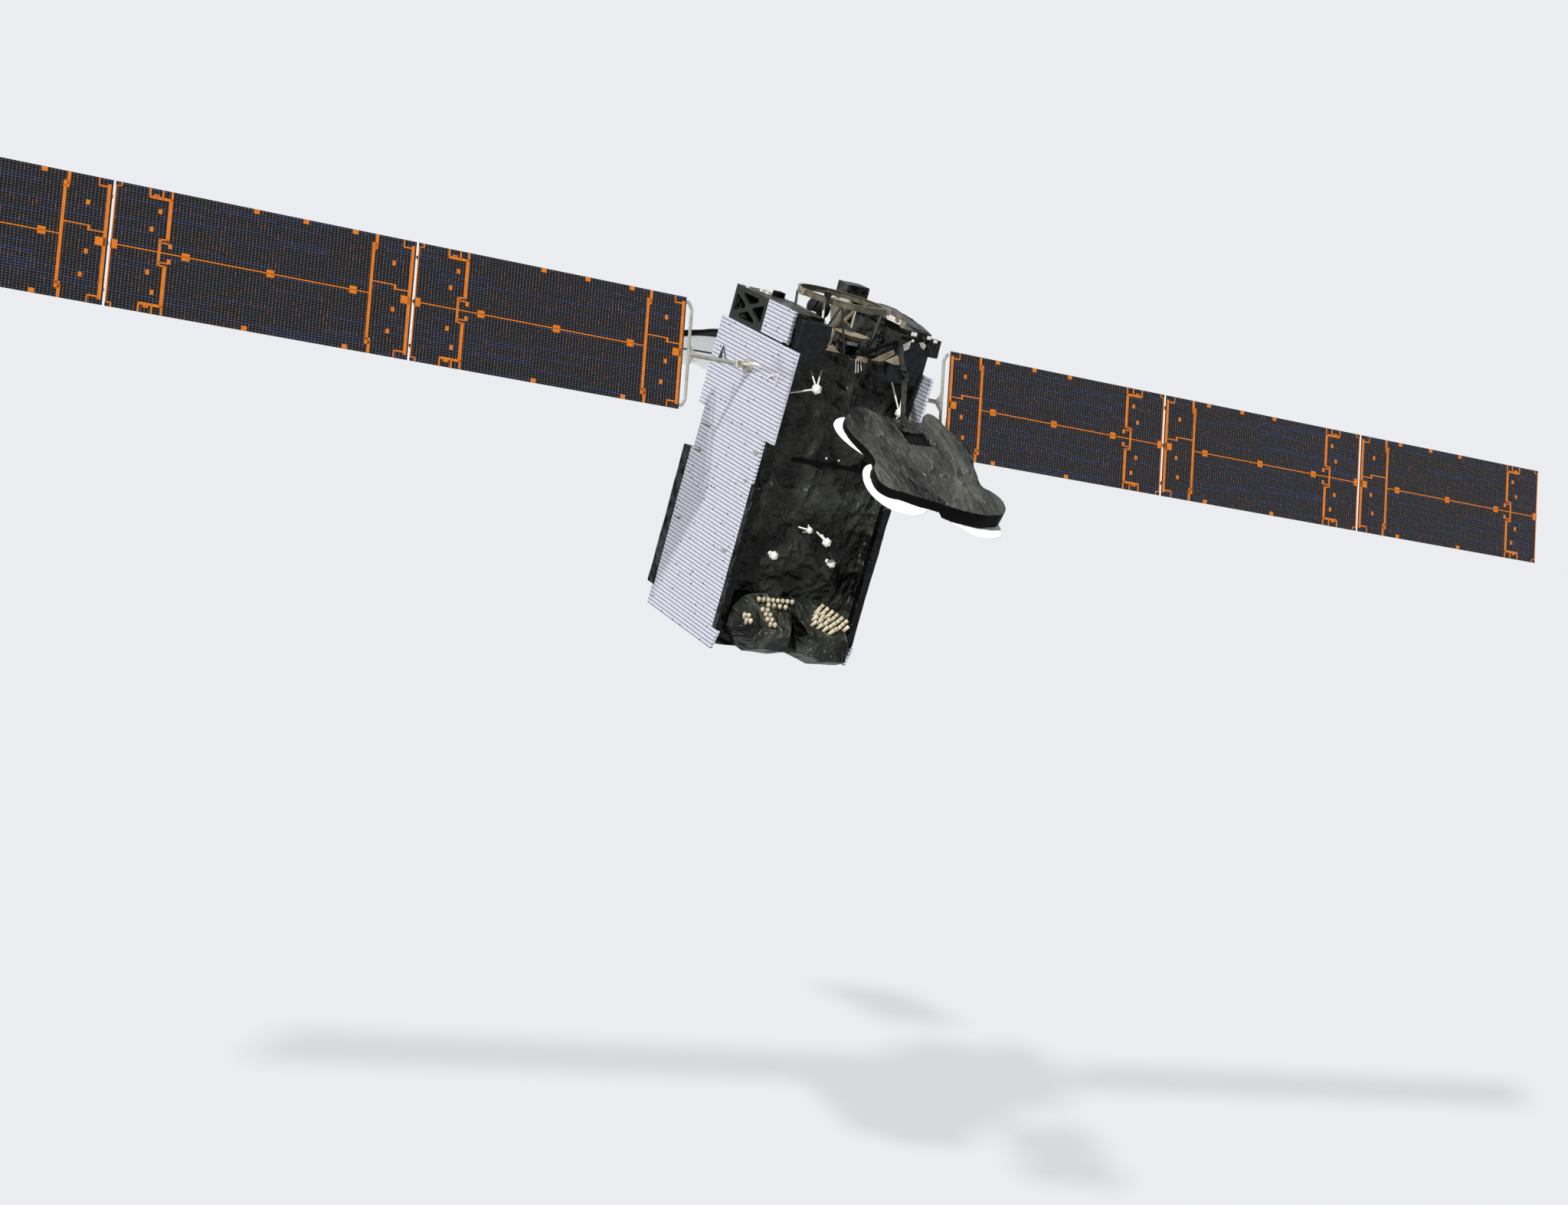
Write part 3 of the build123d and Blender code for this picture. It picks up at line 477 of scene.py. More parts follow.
def stage_material(name, colour):
    """Pale floor that meets the background, and still takes the object's shadow."""
    material = bpy.data.materials.new(name)
    material.use_nodes = True
    tree = material.node_tree
    shader = tree.nodes["Principled BSDF"]
    shader.inputs["Base Color"].default_value = (*colour, 1)
    shader.inputs["Roughness"].default_value = FLOOR_ROUGHNESS
    path = add(tree, "LightPath")
    seen = add(
        tree, "Math", {0: path.outputs["Is Camera Ray"], 1: path.outputs["Is Glossy Ray"]},
        operation="MAXIMUM",
    ).outputs[0]
    share = add(tree, "Math", {0: seen, 1: FLOOR_GLOW_SHARE}, operation="MULTIPLY").outputs[0]
    glow = add(tree, "Emission", {"Color": (*colour, 1), "Strength": 1.0})
    mixed = add(
        tree, "MixShader", {0: share, 1: shader.outputs["BSDF"], 2: glow.outputs["Emission"]}
    )
    tree.links.new(mixed.outputs["Shader"], tree.nodes["Material Output"].inputs["Surface"])
    return material


MATERIALS = {}


def material(key):
    """A material that the finishes operator has made."""
    return MATERIALS[key]


# Settings
class SatelliteStage(bpy.types.PropertyGroup):
    """The camera, the lamps and the floor."""

    floor_depth: FloatProperty(
        name="Floor depth", description="How far the floor lies below the ring",
        default=14.0, unit="LENGTH",
    )
    floor_colour: FloatVectorProperty(
        name="Background", description="Colour of the floor and background",
        default=linear("#e9ebee"), subtype="COLOR", min=0, max=1,
    )
    key_strength: FloatProperty(
        name="Key strength", description="Strength of the key lamp", default=4.0
    )
    key_softness: FloatProperty(
        name="Key softness", description="Apparent width of the key lamp",
        default=math.radians(3), subtype="ANGLE",
    )
    fill: FloatProperty(name="Fill", description="Brightness of the even fill", default=0.15)
    horizon: FloatProperty(
        name="Horizon", description="Brightness beyond the floor, to match it", default=1.016
    )


class SatelliteBlankets(bpy.types.PropertyGroup):
    """The black insulation blankets."""

    dark: FloatVectorProperty(
        name="Film", description="Colour of the film", default=linear("#0a0b0a"),
        subtype="COLOR", min=0, max=1,
    )
    crease: FloatVectorProperty(
        name="Crease", description="Colour of the lit creases", default=linear("#4a4c43"),
        subtype="COLOR", min=0, max=1,
    )
    # Brighter painted highlight for the creases on the reflectors' backs.
    bright: FloatVectorProperty(
        name="Bright crease", description="Colour of the creases on the reflectors' backs",
        default=linear("#7c7e73"), subtype="COLOR", min=0, max=1,
    )
    grid_share: FloatProperty(
        name="Grid", description="Grid of the crumpled meshes, as a share of the table's",
        default=1.0,
    )
    fold_share: FloatProperty(
        name="Fold depth", description="Depth of the folds, as a share of the table's",
        default=1.0,
    )


class SatelliteRadiators(bpy.types.PropertyGroup):
    """The mirror tiles."""

    tile_x: FloatProperty(
        name="Tile width", description="Tile width in millimetres", default=44.0
    )
    tile_z: FloatProperty(
        name="Tile height", description="Tile height in millimetres", default=54.0
    )
    # The tiles' lilac tint is a painted reflection of the surroundings.
    tile: FloatVectorProperty(
        name="Tile", description="Colour of the tiles", default=linear("#e2e1ee"),
        subtype="COLOR", min=0, max=1,
    )
    line: FloatVectorProperty(
        name="Joint", description="Colour of the joints", default=linear("#1c1b22"),
        subtype="COLOR", min=0, max=1,
    )


class SatelliteWings(bpy.types.PropertyGroup):
    """The solar cells and the orange film strips."""

    cell_u: FloatProperty(
        name="Cell length", description="Cell pitch along the wing, in millimetres", default=45.0
    )
    cell_v: FloatProperty(
        name="Cell height", description="Cell pitch across the wing, in millimetres",
        default=33.0,
    )
    strip_t: FloatProperty(
        name="Strip thickness", description="Thickness of the strips, in millimetres",
        default=1.2,
    )
    cell: FloatVectorProperty(
        name="Cell", description="Colour of the cells", default=linear("#0b0908"),
        subtype="COLOR", min=0, max=1,
    )
    grid: FloatVectorProperty(
        name="Grid", description="Colour of the grid", default=linear("#7c7c86"),
        subtype="COLOR", min=0, max=1,
    )
    wire: FloatVectorProperty(
        name="Wiring", description="Colour of the wiring runs", default=linear("#3c4a80"),
        subtype="COLOR", min=0, max=1,
    )
    strip: FloatVectorProperty(
        name="Strip", description="Colour of the film strips", default=linear("#d9780e"),
        subtype="COLOR", min=0, max=1,
    )


# Stage
CAMERA_AT = (32.3774, -20.1513, 4.0031)
CAMERA_LENS = 64.91
CAMERA_REACH = 2000
CAMERA_AZIMUTH = 57.54074
CAMERA_PITCH = -12.25906
CAMERA_ROLL = 15.74874
SUN_FROM = (0.316, -0.612, 0.723)
FLOOR_SIZE = 900


class SATELLITE_OT_stage(bpy.types.Operator):
    """Camera, key lamp, even fill and pale floor"""

    bl_idname = "satellite.stage"
    bl_label = "Stage"

    def execute(self, context):
        s = context.scene.satellite_stage
        colour = tuple(s.floor_colour)
        camera = bpy.data.objects.new("Camera", bpy.data.cameras.new("Camera"))
        context.scene.collection.objects.link(camera)
        camera.data.lens = CAMERA_LENS
        camera.data.clip_end = CAMERA_REACH
        turn = Matrix.Rotation(math.radians(CAMERA_AZIMUTH), 3, "Z")
        turn = turn @ Matrix.Rotation(math.radians(90 + CAMERA_PITCH), 3, "X")
        turn = turn @ Matrix.Rotation(math.radians(CAMERA_ROLL), 3, "Z")
        camera.matrix_world = Matrix.Translation(CAMERA_AT) @ turn.to_4x4()
        context.scene.camera = camera

        key = bpy.data.lights.new("Key", "SUN")
        key.energy = s.key_strength
        key.angle = s.key_softness
        lamp = bpy.data.objects.new("Key", key)
        lamp.rotation_euler = Vector(SUN_FROM).to_track_quat("Z", "Y").to_euler()
        context.scene.collection.objects.link(lamp)

        world = bpy.data.worlds.new("Studio")
        world.use_nodes = True
        context.scene.world = world
        tree = world.node_tree
        path = add(tree, "LightPath")
        seen = add(
            tree, "Math",
            {0: path.outputs["Is Camera Ray"], 1: path.outputs["Is Glossy Ray"]},
            operation="MAXIMUM",
        ).outputs[0]
        seen = add(
            tree, "Math", {0: seen, 1: path.outputs["Is Transmission Ray"]},
            operation="MAXIMUM",
        ).outputs[0]
        fill = add(tree, "Background", {"Color": (1, 1, 1, 1), "Strength": s.fill})
        shown = add(tree, "Background", {"Color": (*colour, 1), "Strength": s.horizon})
        mixed = add(
            tree, "MixShader",
            {0: seen, 1: fill.outputs["Background"], 2: shown.outputs["Background"]},
        )
        tree.links.new(mixed.outputs["Shader"], tree.nodes["World Output"].inputs["Surface"])

        bm = bmesh.new()
        bmesh.ops.create_grid(
            bm, x_segments=1, y_segments=1, size=FLOOR_SIZE,
            matrix=Matrix.Translation((0, 0, -s.floor_depth)),
        )
        mesh = bpy.data.meshes.new("Floor")
        bm.to_mesh(mesh)
        bm.free()
        floor = bpy.data.objects.new("Floor", mesh)
        mesh.materials.append(stage_material("PaleFloor", colour))
        context.scene.collection.objects.link(floor)
        context.scene.view_settings.view_transform = "Standard"
        return {"FINISHED"}


class SATELLITE_OT_finishes(bpy.types.Operator):
    """Make every material and give the frame pieces named in its table their own"""

    bl_idname = "satellite.finishes"
    bl_label = "Finishes"

    def execute(self, context):
        b = context.scene.satellite_blankets
        r = context.scene.satellite_radiators
        dark, crease, bright = tuple(b.dark), tuple(b.crease), tuple(b.bright)
        tile, line = tuple(r.tile), tuple(r.line)
        m = MATERIALS
        m["blanket"] = blanket_material("BlackFilmBlanket", dark, crease, ACROSS, 0.45)
        m["upright"] = blanket_material("BlackFilmUpright", dark, crease, UPRIGHT, 0.4)
        # The reflectors' backs take copies of the film with brighter painted highlights on their
        # creases.
        for side, along in STREAKS.items():
            m["streaked_" + side] = blanket_material(
                "BlackFilm" + side.title(), dark, bright, along, 0.2, relief=0.42
            )
        m["smooth"] = paint_material(
            "BlueBlackFilm", linear("#121416"), linear("#24262a"), 0.5, grain=7.0, depth=0.05,
            specular=0.12,
        )
        # Flat near-black, used for the black fittings and as painted shade on the reflectors'
        # rims and recesses.
        m["void"] = paint_material(
            "BlackRim", linear("#030303"), linear("#0a0a0a"), 0.6, grain=20.0, specular=0.06
        )
        # Cheek film: a darker copy of the film, as painted shade on the cheeks.
        m["rim"] = blanket_material(
            "BlackFilmRim", linear("#030303"), linear("#141414"), UPRIGHT, 0.5
        )
        # Hood and shield-leg film: a darker copy of the film, as painted shade.
        m["dim"] = blanket_material(
            "BlackFilmDim", linear("#050505"), linear("#1c1d1a"), ACROSS, 0.6
        )
        # Feed-box film: a copy of the film with brighter painted highlights on its creases.
        m["olive"] = blanket_material(
            "BlackFilmOlive", linear("#0c0d0b"), linear("#62665a"), UPRIGHT, 0.3, relief=0.3
        )
        m["tiles"] = tile_material("MirrorTiles", tile, line, r.tile_x, r.tile_z)
        m["cells"] = cell_material(context.scene.satellite_wings)
        m["film"] = paint_material(
            "OrangeFilm", tuple(context.scene.satellite_wings.strip), linear("#c96606"), 0.5
        )
        m["white"] = paint_material("WhitePaint", linear("#efece4"), linear("#cfcabd"), 0.6)
        m["cream"] = paint_material("CreamPaint", linear("#d6ccb0"), linear("#9a8e70"), 0.55)
        m["khaki"] = paint_material("KhakiPaint", linear("#a3a29b"), linear("#817f70"), 0.55)
        m["ring"] = paint_material(
            "OliveChromate", linear("#6a6652"), linear("#3a3729"), 0.55, metallic=0.2
        )
        m["frame"] = paint_material(
            "GreyGreenPrimer", linear("#272b25"), linear("#161813"), 0.6, specular=0.2
        )
        m["nozzle"] = paint_material(
            "HeatTintedNozzle", linear("#d6ccc0"), linear("#a98b6c"), 0.3, metallic=0.6,
        )
        m["shield"] = paint_material(
            "SilverFoil", linear("#c6c9d0"), linear("#8d93a0"), 0.3, metallic=0.6
        )
        m["tan_foil"] = paint_material(
            "TanFoil", linear("#a2947c"), linear("#6f624c"), 0.4, metallic=0.35
        )
        # Brown painted shade for the floor of the heat-shield bowl.
        m["brown"] = paint_material(
            "BrownPaintedShade", linear("#4a3018"), linear("#2e1d0e"), 0.45, metallic=0.2
        )
        m["reflector"] = paint_material(
            "WhiteReflector", linear("#fbfbfa"), linear("#f1f1ef"), 0.5
        )
        m["carbon"] = paint_material(
            "DarkCarbon", linear("#1d1e1d"), linear("#30322c"), 0.45, grain=180.0
        )
        m["silver"] = paint_material(
            "SatinAluminium", linear("#c4c0b4"), linear("#8b8674"), 0.35, metallic=0.7
        )
        finishes = {
            "tiles": ("radiator_", "mirror_panels"),
            "cells": ("panel_",),
            "frame": ("brace_frames",),
            "white": ("hood_rail",),
            "khaki": ("yoke_north", "yoke_south"),
            "ring": ("launch_ring",),
            "carbon": ("ring_struts", "yoke_bracket"),
            "upright": ("reflector_arm", "outrigger"),
            "nozzle": ("apogee_engine",),
            "silver": ("drive_",),
        }
        for key, starts in finishes.items():
            for name, node in frame["nodes"].items():
                if name.startswith(starts):
                    node.data.materials.clear()
                    node.data.materials.append(m[key])
        return {"FINISHED"}


# Shells: folds and creases per metre, how sharp they are, and how much each counts
WARP_PER_M = 0.9
WARP_REACH = 0.22
FOLDS_PER_M = 2.0
CREASES_PER_M = 4.6
SHARPNESS = 2.6
FOLD_SHARE = 0.62
CREASE_SHARE = 0.38
INWARD_SHARE = 0.4
# How far apart in the noise two seeds lie
SEED_STEP = (7.1, 3.3, 5.7)


def crumple(point, turn, stretch, offset):
    """How far a blanket stands in or out at a point, as a share of its fold depth."""
    p = turn @ point
    p = Vector((p.x * stretch, p.y, p.z)) + offset
    q = p + noise.noise_vector(p * WARP_PER_M) * WARP_REACH
    fold = 1 - abs(noise.noise(q * FOLDS_PER_M)) * SHARPNESS
    crease = 1 - abs(noise.noise(q * CREASES_PER_M)) * SHARPNESS
    return FOLD_SHARE * fold + CREASE_SHARE * crease - INWARD_SHARE


def merged_node(node):
    """A merged copy of a frame node's mesh."""
    bm = bmesh.new()
    bm.from_mesh(frame["nodes"][node].data)
    bmesh.ops.remove_doubles(bm, verts=bm.verts[:], dist=MERGE_DIST)
    return bm


def regrid(bm, voxel, name):
    """The closed shapes of a bmesh as one even grid mesh."""
    mesh = bpy.data.meshes.new(name)
    bm.to_mesh(mesh)
    bm.free()
    carrier = bpy.data.objects.new("carrier", mesh)
    bpy.context.scene.collection.objects.link(carrier)
    grid = carrier.modifiers.new("Grid", "REMESH")
    grid.mode = "VOXEL"
    grid.voxel_size = voxel
    graph = bpy.context.evaluated_depsgraph_get()
    shell = bpy.data.meshes.new_from_object(carrier.evaluated_get(graph))
    bpy.data.objects.remove(carrier)
    shell.name = name
    return shell


def crumple_mesh(shell, seed, along, stretch, depth):
    """Move a shell's points along their normals in long folds, depth in metres."""
    offset = Vector([seed * step for step in SEED_STEP])
    turn = turn_to_x(along).to_matrix()
    normals = [v.normal.copy() for v in shell.vertices]
    for vertex, normal in zip(shell.vertices, normals):
        vertex.co += normal * depth * crumple(vertex.co, turn, stretch, offset)


def add_span(bm, x0, x1, y0, y1, z0, z1):
    """Add a box between two corners, in millimetres from the wing axis."""
    middle = at((x0 + x1) / 2, (y0 + y1) / 2, (z0 + z1) / 2)
    add_box(bm, middle, (x1 - x0, y1 - y0, z1 - z0))


def add_outline(bm, points, along):
    """Add a prism: its corners as places on the body, and the vector that gives its depth."""
    add_plate(bm, [at(*p) for p in points], Vector(mm(*along)))


# Half turn that takes an east piece to the west
HALF_TURN = Matrix.Rotation(math.pi, 4, "Z")
# Body forms: columns are x, y and z spans
BODY_SPANS = {
    "bus_core": (
        (-900, 700, -1049, 1049, -1400, 462),
        (-865, 740, -1000, 1000, -3430, -1390),
        (-970, 830, -1049, 1049, -3650, -3420),
        (660, 830, -1049, -995, -1400, 462),
        (660, 830, 995, 1049, -1400, 462),
        (-970, 845, -1049, -970, -3420, -1400),
        (-970, 845, 970, 1049, -3420, -1400),
        (-1010, 847, -1049, -970, -3650, -3420),
        (-1010, 847, 970, 1049, -3650, -3420),
    ),
    "aprons": (
        (745, 915, -1010, -570, 455, 862),
        (893, 915, -937, -570, 292, 470),
        (745, 915, 430, 1010, 455, 862),
        (893, 915, 430, 937, 292, 470),
    ),
}
HOOD_X = (-530, 745)
HOOD_Y = (622, 1089)
HOOD_FOOT_Z = 935
HOOD_ENDS_Z = (1115, 1005)
HOOD_CREST = (100, 1096)
HOOD_BOX = (760, 905, 883, 1165, 720, 960)
HOOD_STEPS = 12


def hood_form():
    """The arched cover and the box at its east end."""
    (x0, x1), (z0, z1) = HOOD_X, HOOD_ENDS_Z
    corners = [(x1, HOOD_FOOT_Z), (x0, HOOD_FOOT_Z)]
    for i in range(HOOD_STEPS + 1):
        x = x0 + (x1 - x0) * i / HOOD_STEPS
        rise = (x - x0) * (x1 - x) / ((HOOD_CREST[0] - x0) * (x1 - HOOD_CREST[0]))
        line = z0 + (z1 - z0) * i / HOOD_STEPS
        crest_line = z0 + (z1 - z0) * (HOOD_CREST[0] - x0) / (x1 - x0)
        corners.append((x, line + rise * (HOOD_CREST[1] - crest_line)))
    bm = bmesh.new()
    y0, y1 = HOOD_Y
    add_outline(bm, [(x, y0, z) for x, z in corners], (0, y1 - y0, 0))
    add_span(bm, *HOOD_BOX)
    bmesh.ops.recalc_face_normals(bm, faces=bm.faces[:])
    return bm


def body_form(node):
    """The closed shape of a body blanket."""
    if node == "hood":
        return hood_form()
    if node not in BODY_SPANS:
        return merged_node(node)
    bm = bmesh.new()
    for span in BODY_SPANS[node]:
        add_span(bm, *span)
    return bm


# The ways that folds run
ACROSS = (0.1, 1, -0.25)
UPRIGHT = (0.2, 0.3, 1)
STREAKS = {"east": (0.75, 0.58, -0.30), "west": (-0.75, -0.58, -0.30)}
# Columns: node, seed, the way its folds run, how much they are drawn out, grid and fold depth
# in metres, material
BLANKETS = (
    ("bus_core", 1, ACROSS, 0.3, 0.024, 0.026, "blanket"),
    # The cheeks take the darker rim film as painted shade.
    ("cheeks", 2, UPRIGHT, 0.6, 0.016, 0.008, "rim"),
    ("module_south", 4, ACROSS, 0.7, 0.018, 0.012, "blanket"),
    ("module_north", 5, ACROSS, 0.7, 0.018, 0.014, "blanket"),
    ("aprons", 6, UPRIGHT, 0.5, 0.011, 0.006, "smooth"),
    # The hood takes the darker dim film as painted shade.
    ("hood", 7, ACROSS, 0.8, 0.014, 0.008, "dim"),
    ("tank", 8, ACROSS, 1.0, 0.012, 0.004, "smooth"),
    ("deck_box", 9, UPRIGHT, 0.8, 0.012, 0.01, "blanket"),
)


class SATELLITE_OT_blankets(bpy.types.Operator):
    """Crumpled film blankets in place of the plain ones"""

    bl_idname = "satellite.blankets"
    bl_label = "Blankets"

    def execute(self, context):
        s = context.scene.satellite_blankets
        for node, seed, along, stretch, voxel, depth, key in BLANKETS:
            name = node + "_blanket"
            shell = regrid(body_form(node), voxel * s.grid_share, name)
            crumple_mesh(shell, seed, along, stretch, depth * s.fold_share)
            body = frame["nodes"][node]["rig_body"]
            piece = place_piece(name, shell, material(key), body, True)
            if node == "bus_core":
                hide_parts(node, "lower_blankets")
            else:
                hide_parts(node)
        return {"FINISHED"}


# Reflectors: s runs outward along the face, y north, z is the back's normal
REFLECTOR_AT = (2337, -20, -52)
REFLECTOR_LEAN = math.radians(22)
BACK_OUTLINE = (
    (-314, -598), (-340, -432), (-265, -318), (-225, -100), (-231, 131), (-240, 387),
    (-398, 518), (-483, 621), (-447, 708), (-210, 807), (-22, 915), (164, 1002),
    (291, 998), (545, 887), (757, 821), (1002, 799), (1108, 920), (1244, 1004),
    (1385, 987), (1578, 855), (1642, 685), (1677, 521), (1668, 316), (1640, 100),
    (1579, -140), (1531, -405), (1472, -623), (1433, -809), (1325, -923), (1135, -922),
    (1008, -887), (893, -817), (683, -817), (579, -846), (407, -916), (248, -951),
    (85, -931), (-64, -836),
)
INNER_DISH = (
    (-130, -700), (-95, -900), (23, -1028), (145, -1058), (264, -1044), (420, -973),
    (558, -867), (680, -720), (760, -200), (740, 400), (540, 760), (270, 930),
    (0, 860), (-150, 640), (-150, 200), (-150, -300),
)
SOUTH_DISH = (
    (720, -654), (753, -774), (845, -887), (978, -952), (1128, -984), (1271, -973),
    (1428, -905), (1544, -791), (1623, -583), (1625, -388), (1500, -160), (1400, 120),
    (1000, 200), (600, 100), (560, -350),
)
NORTH_DISH = (
    (560, 200), (640, -120), (1050, -200), (1480, -120), (1640, 120), (1732, 284),
    (1799, 419), (1822, 582), (1777, 774), (1679, 925), (1500, 950), (1250, 930),
    (1000, 720), (760, 720), (600, 500),
)
DISH_SPLIT_S = 668
DISH_SPLIT_Y = -10
DISH_GAP = 24
DISH_R = 12000
DISH_T = 14
# Dish surfaces: columns are the crown's s, y and depth under the back, and its tilt in degrees
SURFACES = {
    "east": {"inner": (100, 30, 36, 2.5), "south": (1250, 0, 90, 5), "north": (1250, 0, 150, 6)},
    "west": {"inner": (100, 30, 36, 2.5), "south": (1250, 0, 70, 2), "north": (1250, 0, 100, 2)},
}
FAR = 3000
INWARD = (-FAR, DISH_SPLIT_S - DISH_GAP / 2)
OUTWARD = (DISH_SPLIT_S + DISH_GAP / 2, FAR)
# Columns: dish, outline, how far the outline is moved along s and y, limits along s and y
DISHES = (
    ("inner", INNER_DISH, (0, 0), INWARD, (-FAR, FAR)),
    ("south", SOUTH_DISH, (70, -50), OUTWARD, (-FAR, DISH_SPLIT_Y - DISH_GAP / 2)),
    ("north", NORTH_DISH, (0, 0), OUTWARD, (DISH_SPLIT_Y + DISH_GAP / 2, FAR)),
)
RECESS_AT = (195, 133)
RECESS_SIZE = (262, 372)
RECESS_D = 22
RECESS_TURN = math.radians(6)
# Points nearer than this to the back's plane belong to the recess's floor
RECESS_REACH = 20
SLAB_D = 60
# Grids and fold depth in metres
BACK_GRID = 0.014
BACK_FOLD_D = 0.018
BACK_FOLDS_ALONG = (1, 0.75, 0)
BACK_STRETCH = 0.22
BACK_SEEDS = {"east": 12, "west": 13}
# Faces whose normal has less than this along the back's normal take the black painted shade
RIM_LEAN = 0.6
DISH_GRID = 0.018


def reflector_matrix(side):
    """The matrix from a reflector's own frame, in metres, to its place on the body."""
    lean = Matrix.Rotation(REFLECTOR_LEAN, 4, "Y")
    place = Matrix.Translation(at(*REFLECTOR_AT)) @ lean
    return place if side == "east" else HALF_TURN @ place


def outline_slab(points):
    """A slab inside a smooth closed outline, from z = 0 down to the slab's depth."""
    curve = bpy.data.curves.new("outline", "CURVE")
    curve.dimensions = "2D"
    curve.fill_mode = "BOTH"
    curve.extrude = SLAB_D / 2000
    spline = curve.splines.new("BEZIER")
    spline.bezier_points.add(len(points) - 1)
    for knot, (s, y) in zip(spline.bezier_points, points):
        knot.co = (s / 1000, y / 1000, 0)
        knot.handle_left_type = "AUTO"
        knot.handle_right_type = "AUTO"
    spline.use_cyclic_u = True
    carrier = bpy.data.objects.new("outline", curve)
    bpy.context.scene.collection.objects.link(carrier)
    bpy.context.view_layer.update()
    graph = bpy.context.evaluated_depsgraph_get()
    mesh = bpy.data.meshes.new_from_object(carrier.evaluated_get(graph))
    bpy.data.objects.remove(carrier)
    bm = bmesh.new()
    bm.from_mesh(mesh)
    bmesh.ops.remove_doubles(bm, verts=bm.verts[:], dist=MERGE_DIST)
    bmesh.ops.translate(bm, verts=bm.verts[:], vec=(0, 0, -SLAB_D / 2000))
    bmesh.ops.recalc_face_normals(bm, faces=bm.faces[:])
    return bm


def cut_off(bm, place, normal):
    """Cut a closed shape by a plane, drop what lies beyond it and close the cut."""
    bmesh.ops.bisect_plane(
        bm, geom=bm.verts[:] + bm.edges[:] + bm.faces[:], plane_co=place, plane_no=normal,
        clear_outer=True,
    )
    open_edges = [e for e in bm.edges if e.is_boundary]
    bmesh.ops.holes_fill(bm, edges=open_edges)


def surface_depth(side, dish, s, y):
    """How deep a dish's back surface lies under the reflector's plane, in metres."""
    centre_s, centre_y, depth, tilt = SURFACES[side][dish]
    run = s - centre_s / 1000
    across = y - centre_y / 1000
    drop = run * math.tan(math.radians(tilt)) + (run * run + across * across) / (DISH_R / 500)
    return depth / 1000 + drop


def dish_under(s, y):
    """Which dish lies under a place on the back."""
    if s < DISH_SPLIT_S / 1000:
        return "inner"
    return "south" if y < DISH_SPLIT_Y / 1000 else "north"


def in_recess(s, y):
    """Whether a place on the back lies in the square recess."""
    ds, dy = s - RECESS_AT[0] / 1000, y - RECESS_AT[1] / 1000
    c, n = math.cos(RECESS_TURN), math.sin(RECESS_TURN)
    along, across = ds * c + dy * n, dy * c - ds * n
    return abs(along) < RECESS_SIZE[0] / 2000 and abs(across) < RECESS_SIZE[1] / 2000


class SATELLITE_OT_reflectors(bpy.types.Operator):
    """Lobed film backs whose thick rims and recesses are painted black as shade, and the white
    dishes under them
    """

    bl_idname = "satellite.reflectors"
    bl_label = "Reflectors"

    def execute(self, context):
        s = context.scene.satellite_blankets
        for side in FACES:
            self.back(side, s)
            self.dishes(side)
        return {"FINISHED"}

    def back(self, side, s):
        """One film-wrapped back, bent over its dishes, with its recess."""
        name = f"reflector_back_{side}_film"
        shell = regrid(outline_slab(BACK_OUTLINE), BACK_GRID * s.grid_share, name)
        for vertex in shell.vertices:
            x, y, z = vertex.co
            vertex.co.z = z * surface_depth(side, dish_under(x, y), x, y) * 1000 / SLAB_D
        shell.update()
        depth = BACK_FOLD_D * s.fold_share
        crumple_mesh(shell, BACK_SEEDS[side], BACK_FOLDS_ALONG, BACK_STRETCH, depth)
        for vertex in shell.vertices:
            x, y, z = vertex.co
            if z > -RECESS_REACH / 1000 and in_recess(x, y):
                vertex.co.z = -RECESS_D / 1000
        shell.update()
        # Painted shade: faces that turn away from the back's plane, and the recess, are smooth
        # and black.
        dark = []
        for face in shell.polygons:
            x, y, z = face.center
            dark.append(1 if face.normal.z < RIM_LEAN or in_recess(x, y) else 0)
        shell.transform(reflector_matrix(side))
        piece = place_piece(
            name, shell, material("streaked_" + side), f"reflector_{side}", True
        )
        shell.materials.append(material("void"))
        shell.polygons.foreach_set("material_index", dark)
        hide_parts(f"reflector_back_{side}")

    def dishes(self, side):
        """The three thin dishes of one reflector, as one piece."""
        whole = bmesh.new()
        for kind, outline, (ds, dy), (s0, s1), (y0, y1) in DISHES:
            bm = outline_slab([(s + ds, y + dy) for s, y in outline])
            for limit, normal in ((s0, (-1, 0, 0)), (s1, (1, 0, 0))):
                cut_off(bm, (limit / 1000, 0, 0), normal)
            for limit, normal in ((y0, (0, -1, 0)), (y1, (0, 1, 0))):
                cut_off(bm, (0, limit / 1000, 0), normal)
            dish = regrid(bm, DISH_GRID, "dish")
            for vertex in dish.vertices:
                x, y, z = vertex.co
                vertex.co.z = z * DISH_T / SLAB_D - surface_depth(side, kind, x, y)
            dish.update()
            whole.from_mesh(dish)
        name = f"reflector_dishes_{side}_white"
        mesh = bpy.data.meshes.new(name)
        whole.to_mesh(mesh)
        whole.free()
        mesh.transform(reflector_matrix(side))
        piece = place_piece(
            name, mesh, material("reflector"), f"reflector_{side}", True
        )
        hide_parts(f"reflector_dishes_{side}")


# Feed boxes: outlines as y and z, seen from the east
FACE_X = {"east": 740, "west": 865}
SOUTH_FEED = (
    (-955, -3370), (-660, -3640), (-250, -3645), (-15, -3590), (-60, -2900), (-250, -2860),
    (-740, -2930), (-930, -3090),
)
NORTH_FEED = (
    (5, -3590), (380, -3710), (860, -3680), (930, -3545), (870, -3165), (420, -2830),
    (60, -2790), (-45, -2890),
)
FEED_FRONT = 634
FEED_STEP = 290
FEED_INSET = 150
FEED_TOP_Z = -2875
FEED_LEDGE = 60
FEED_SLOPE = 330
# Grid and fold depth in metres
FEED_GRID = 0.014
FEED_FOLD_D = 0.005
FEED_STRETCH = 0.5
FEED_SEEDS = {"east": 10, "west": 11}
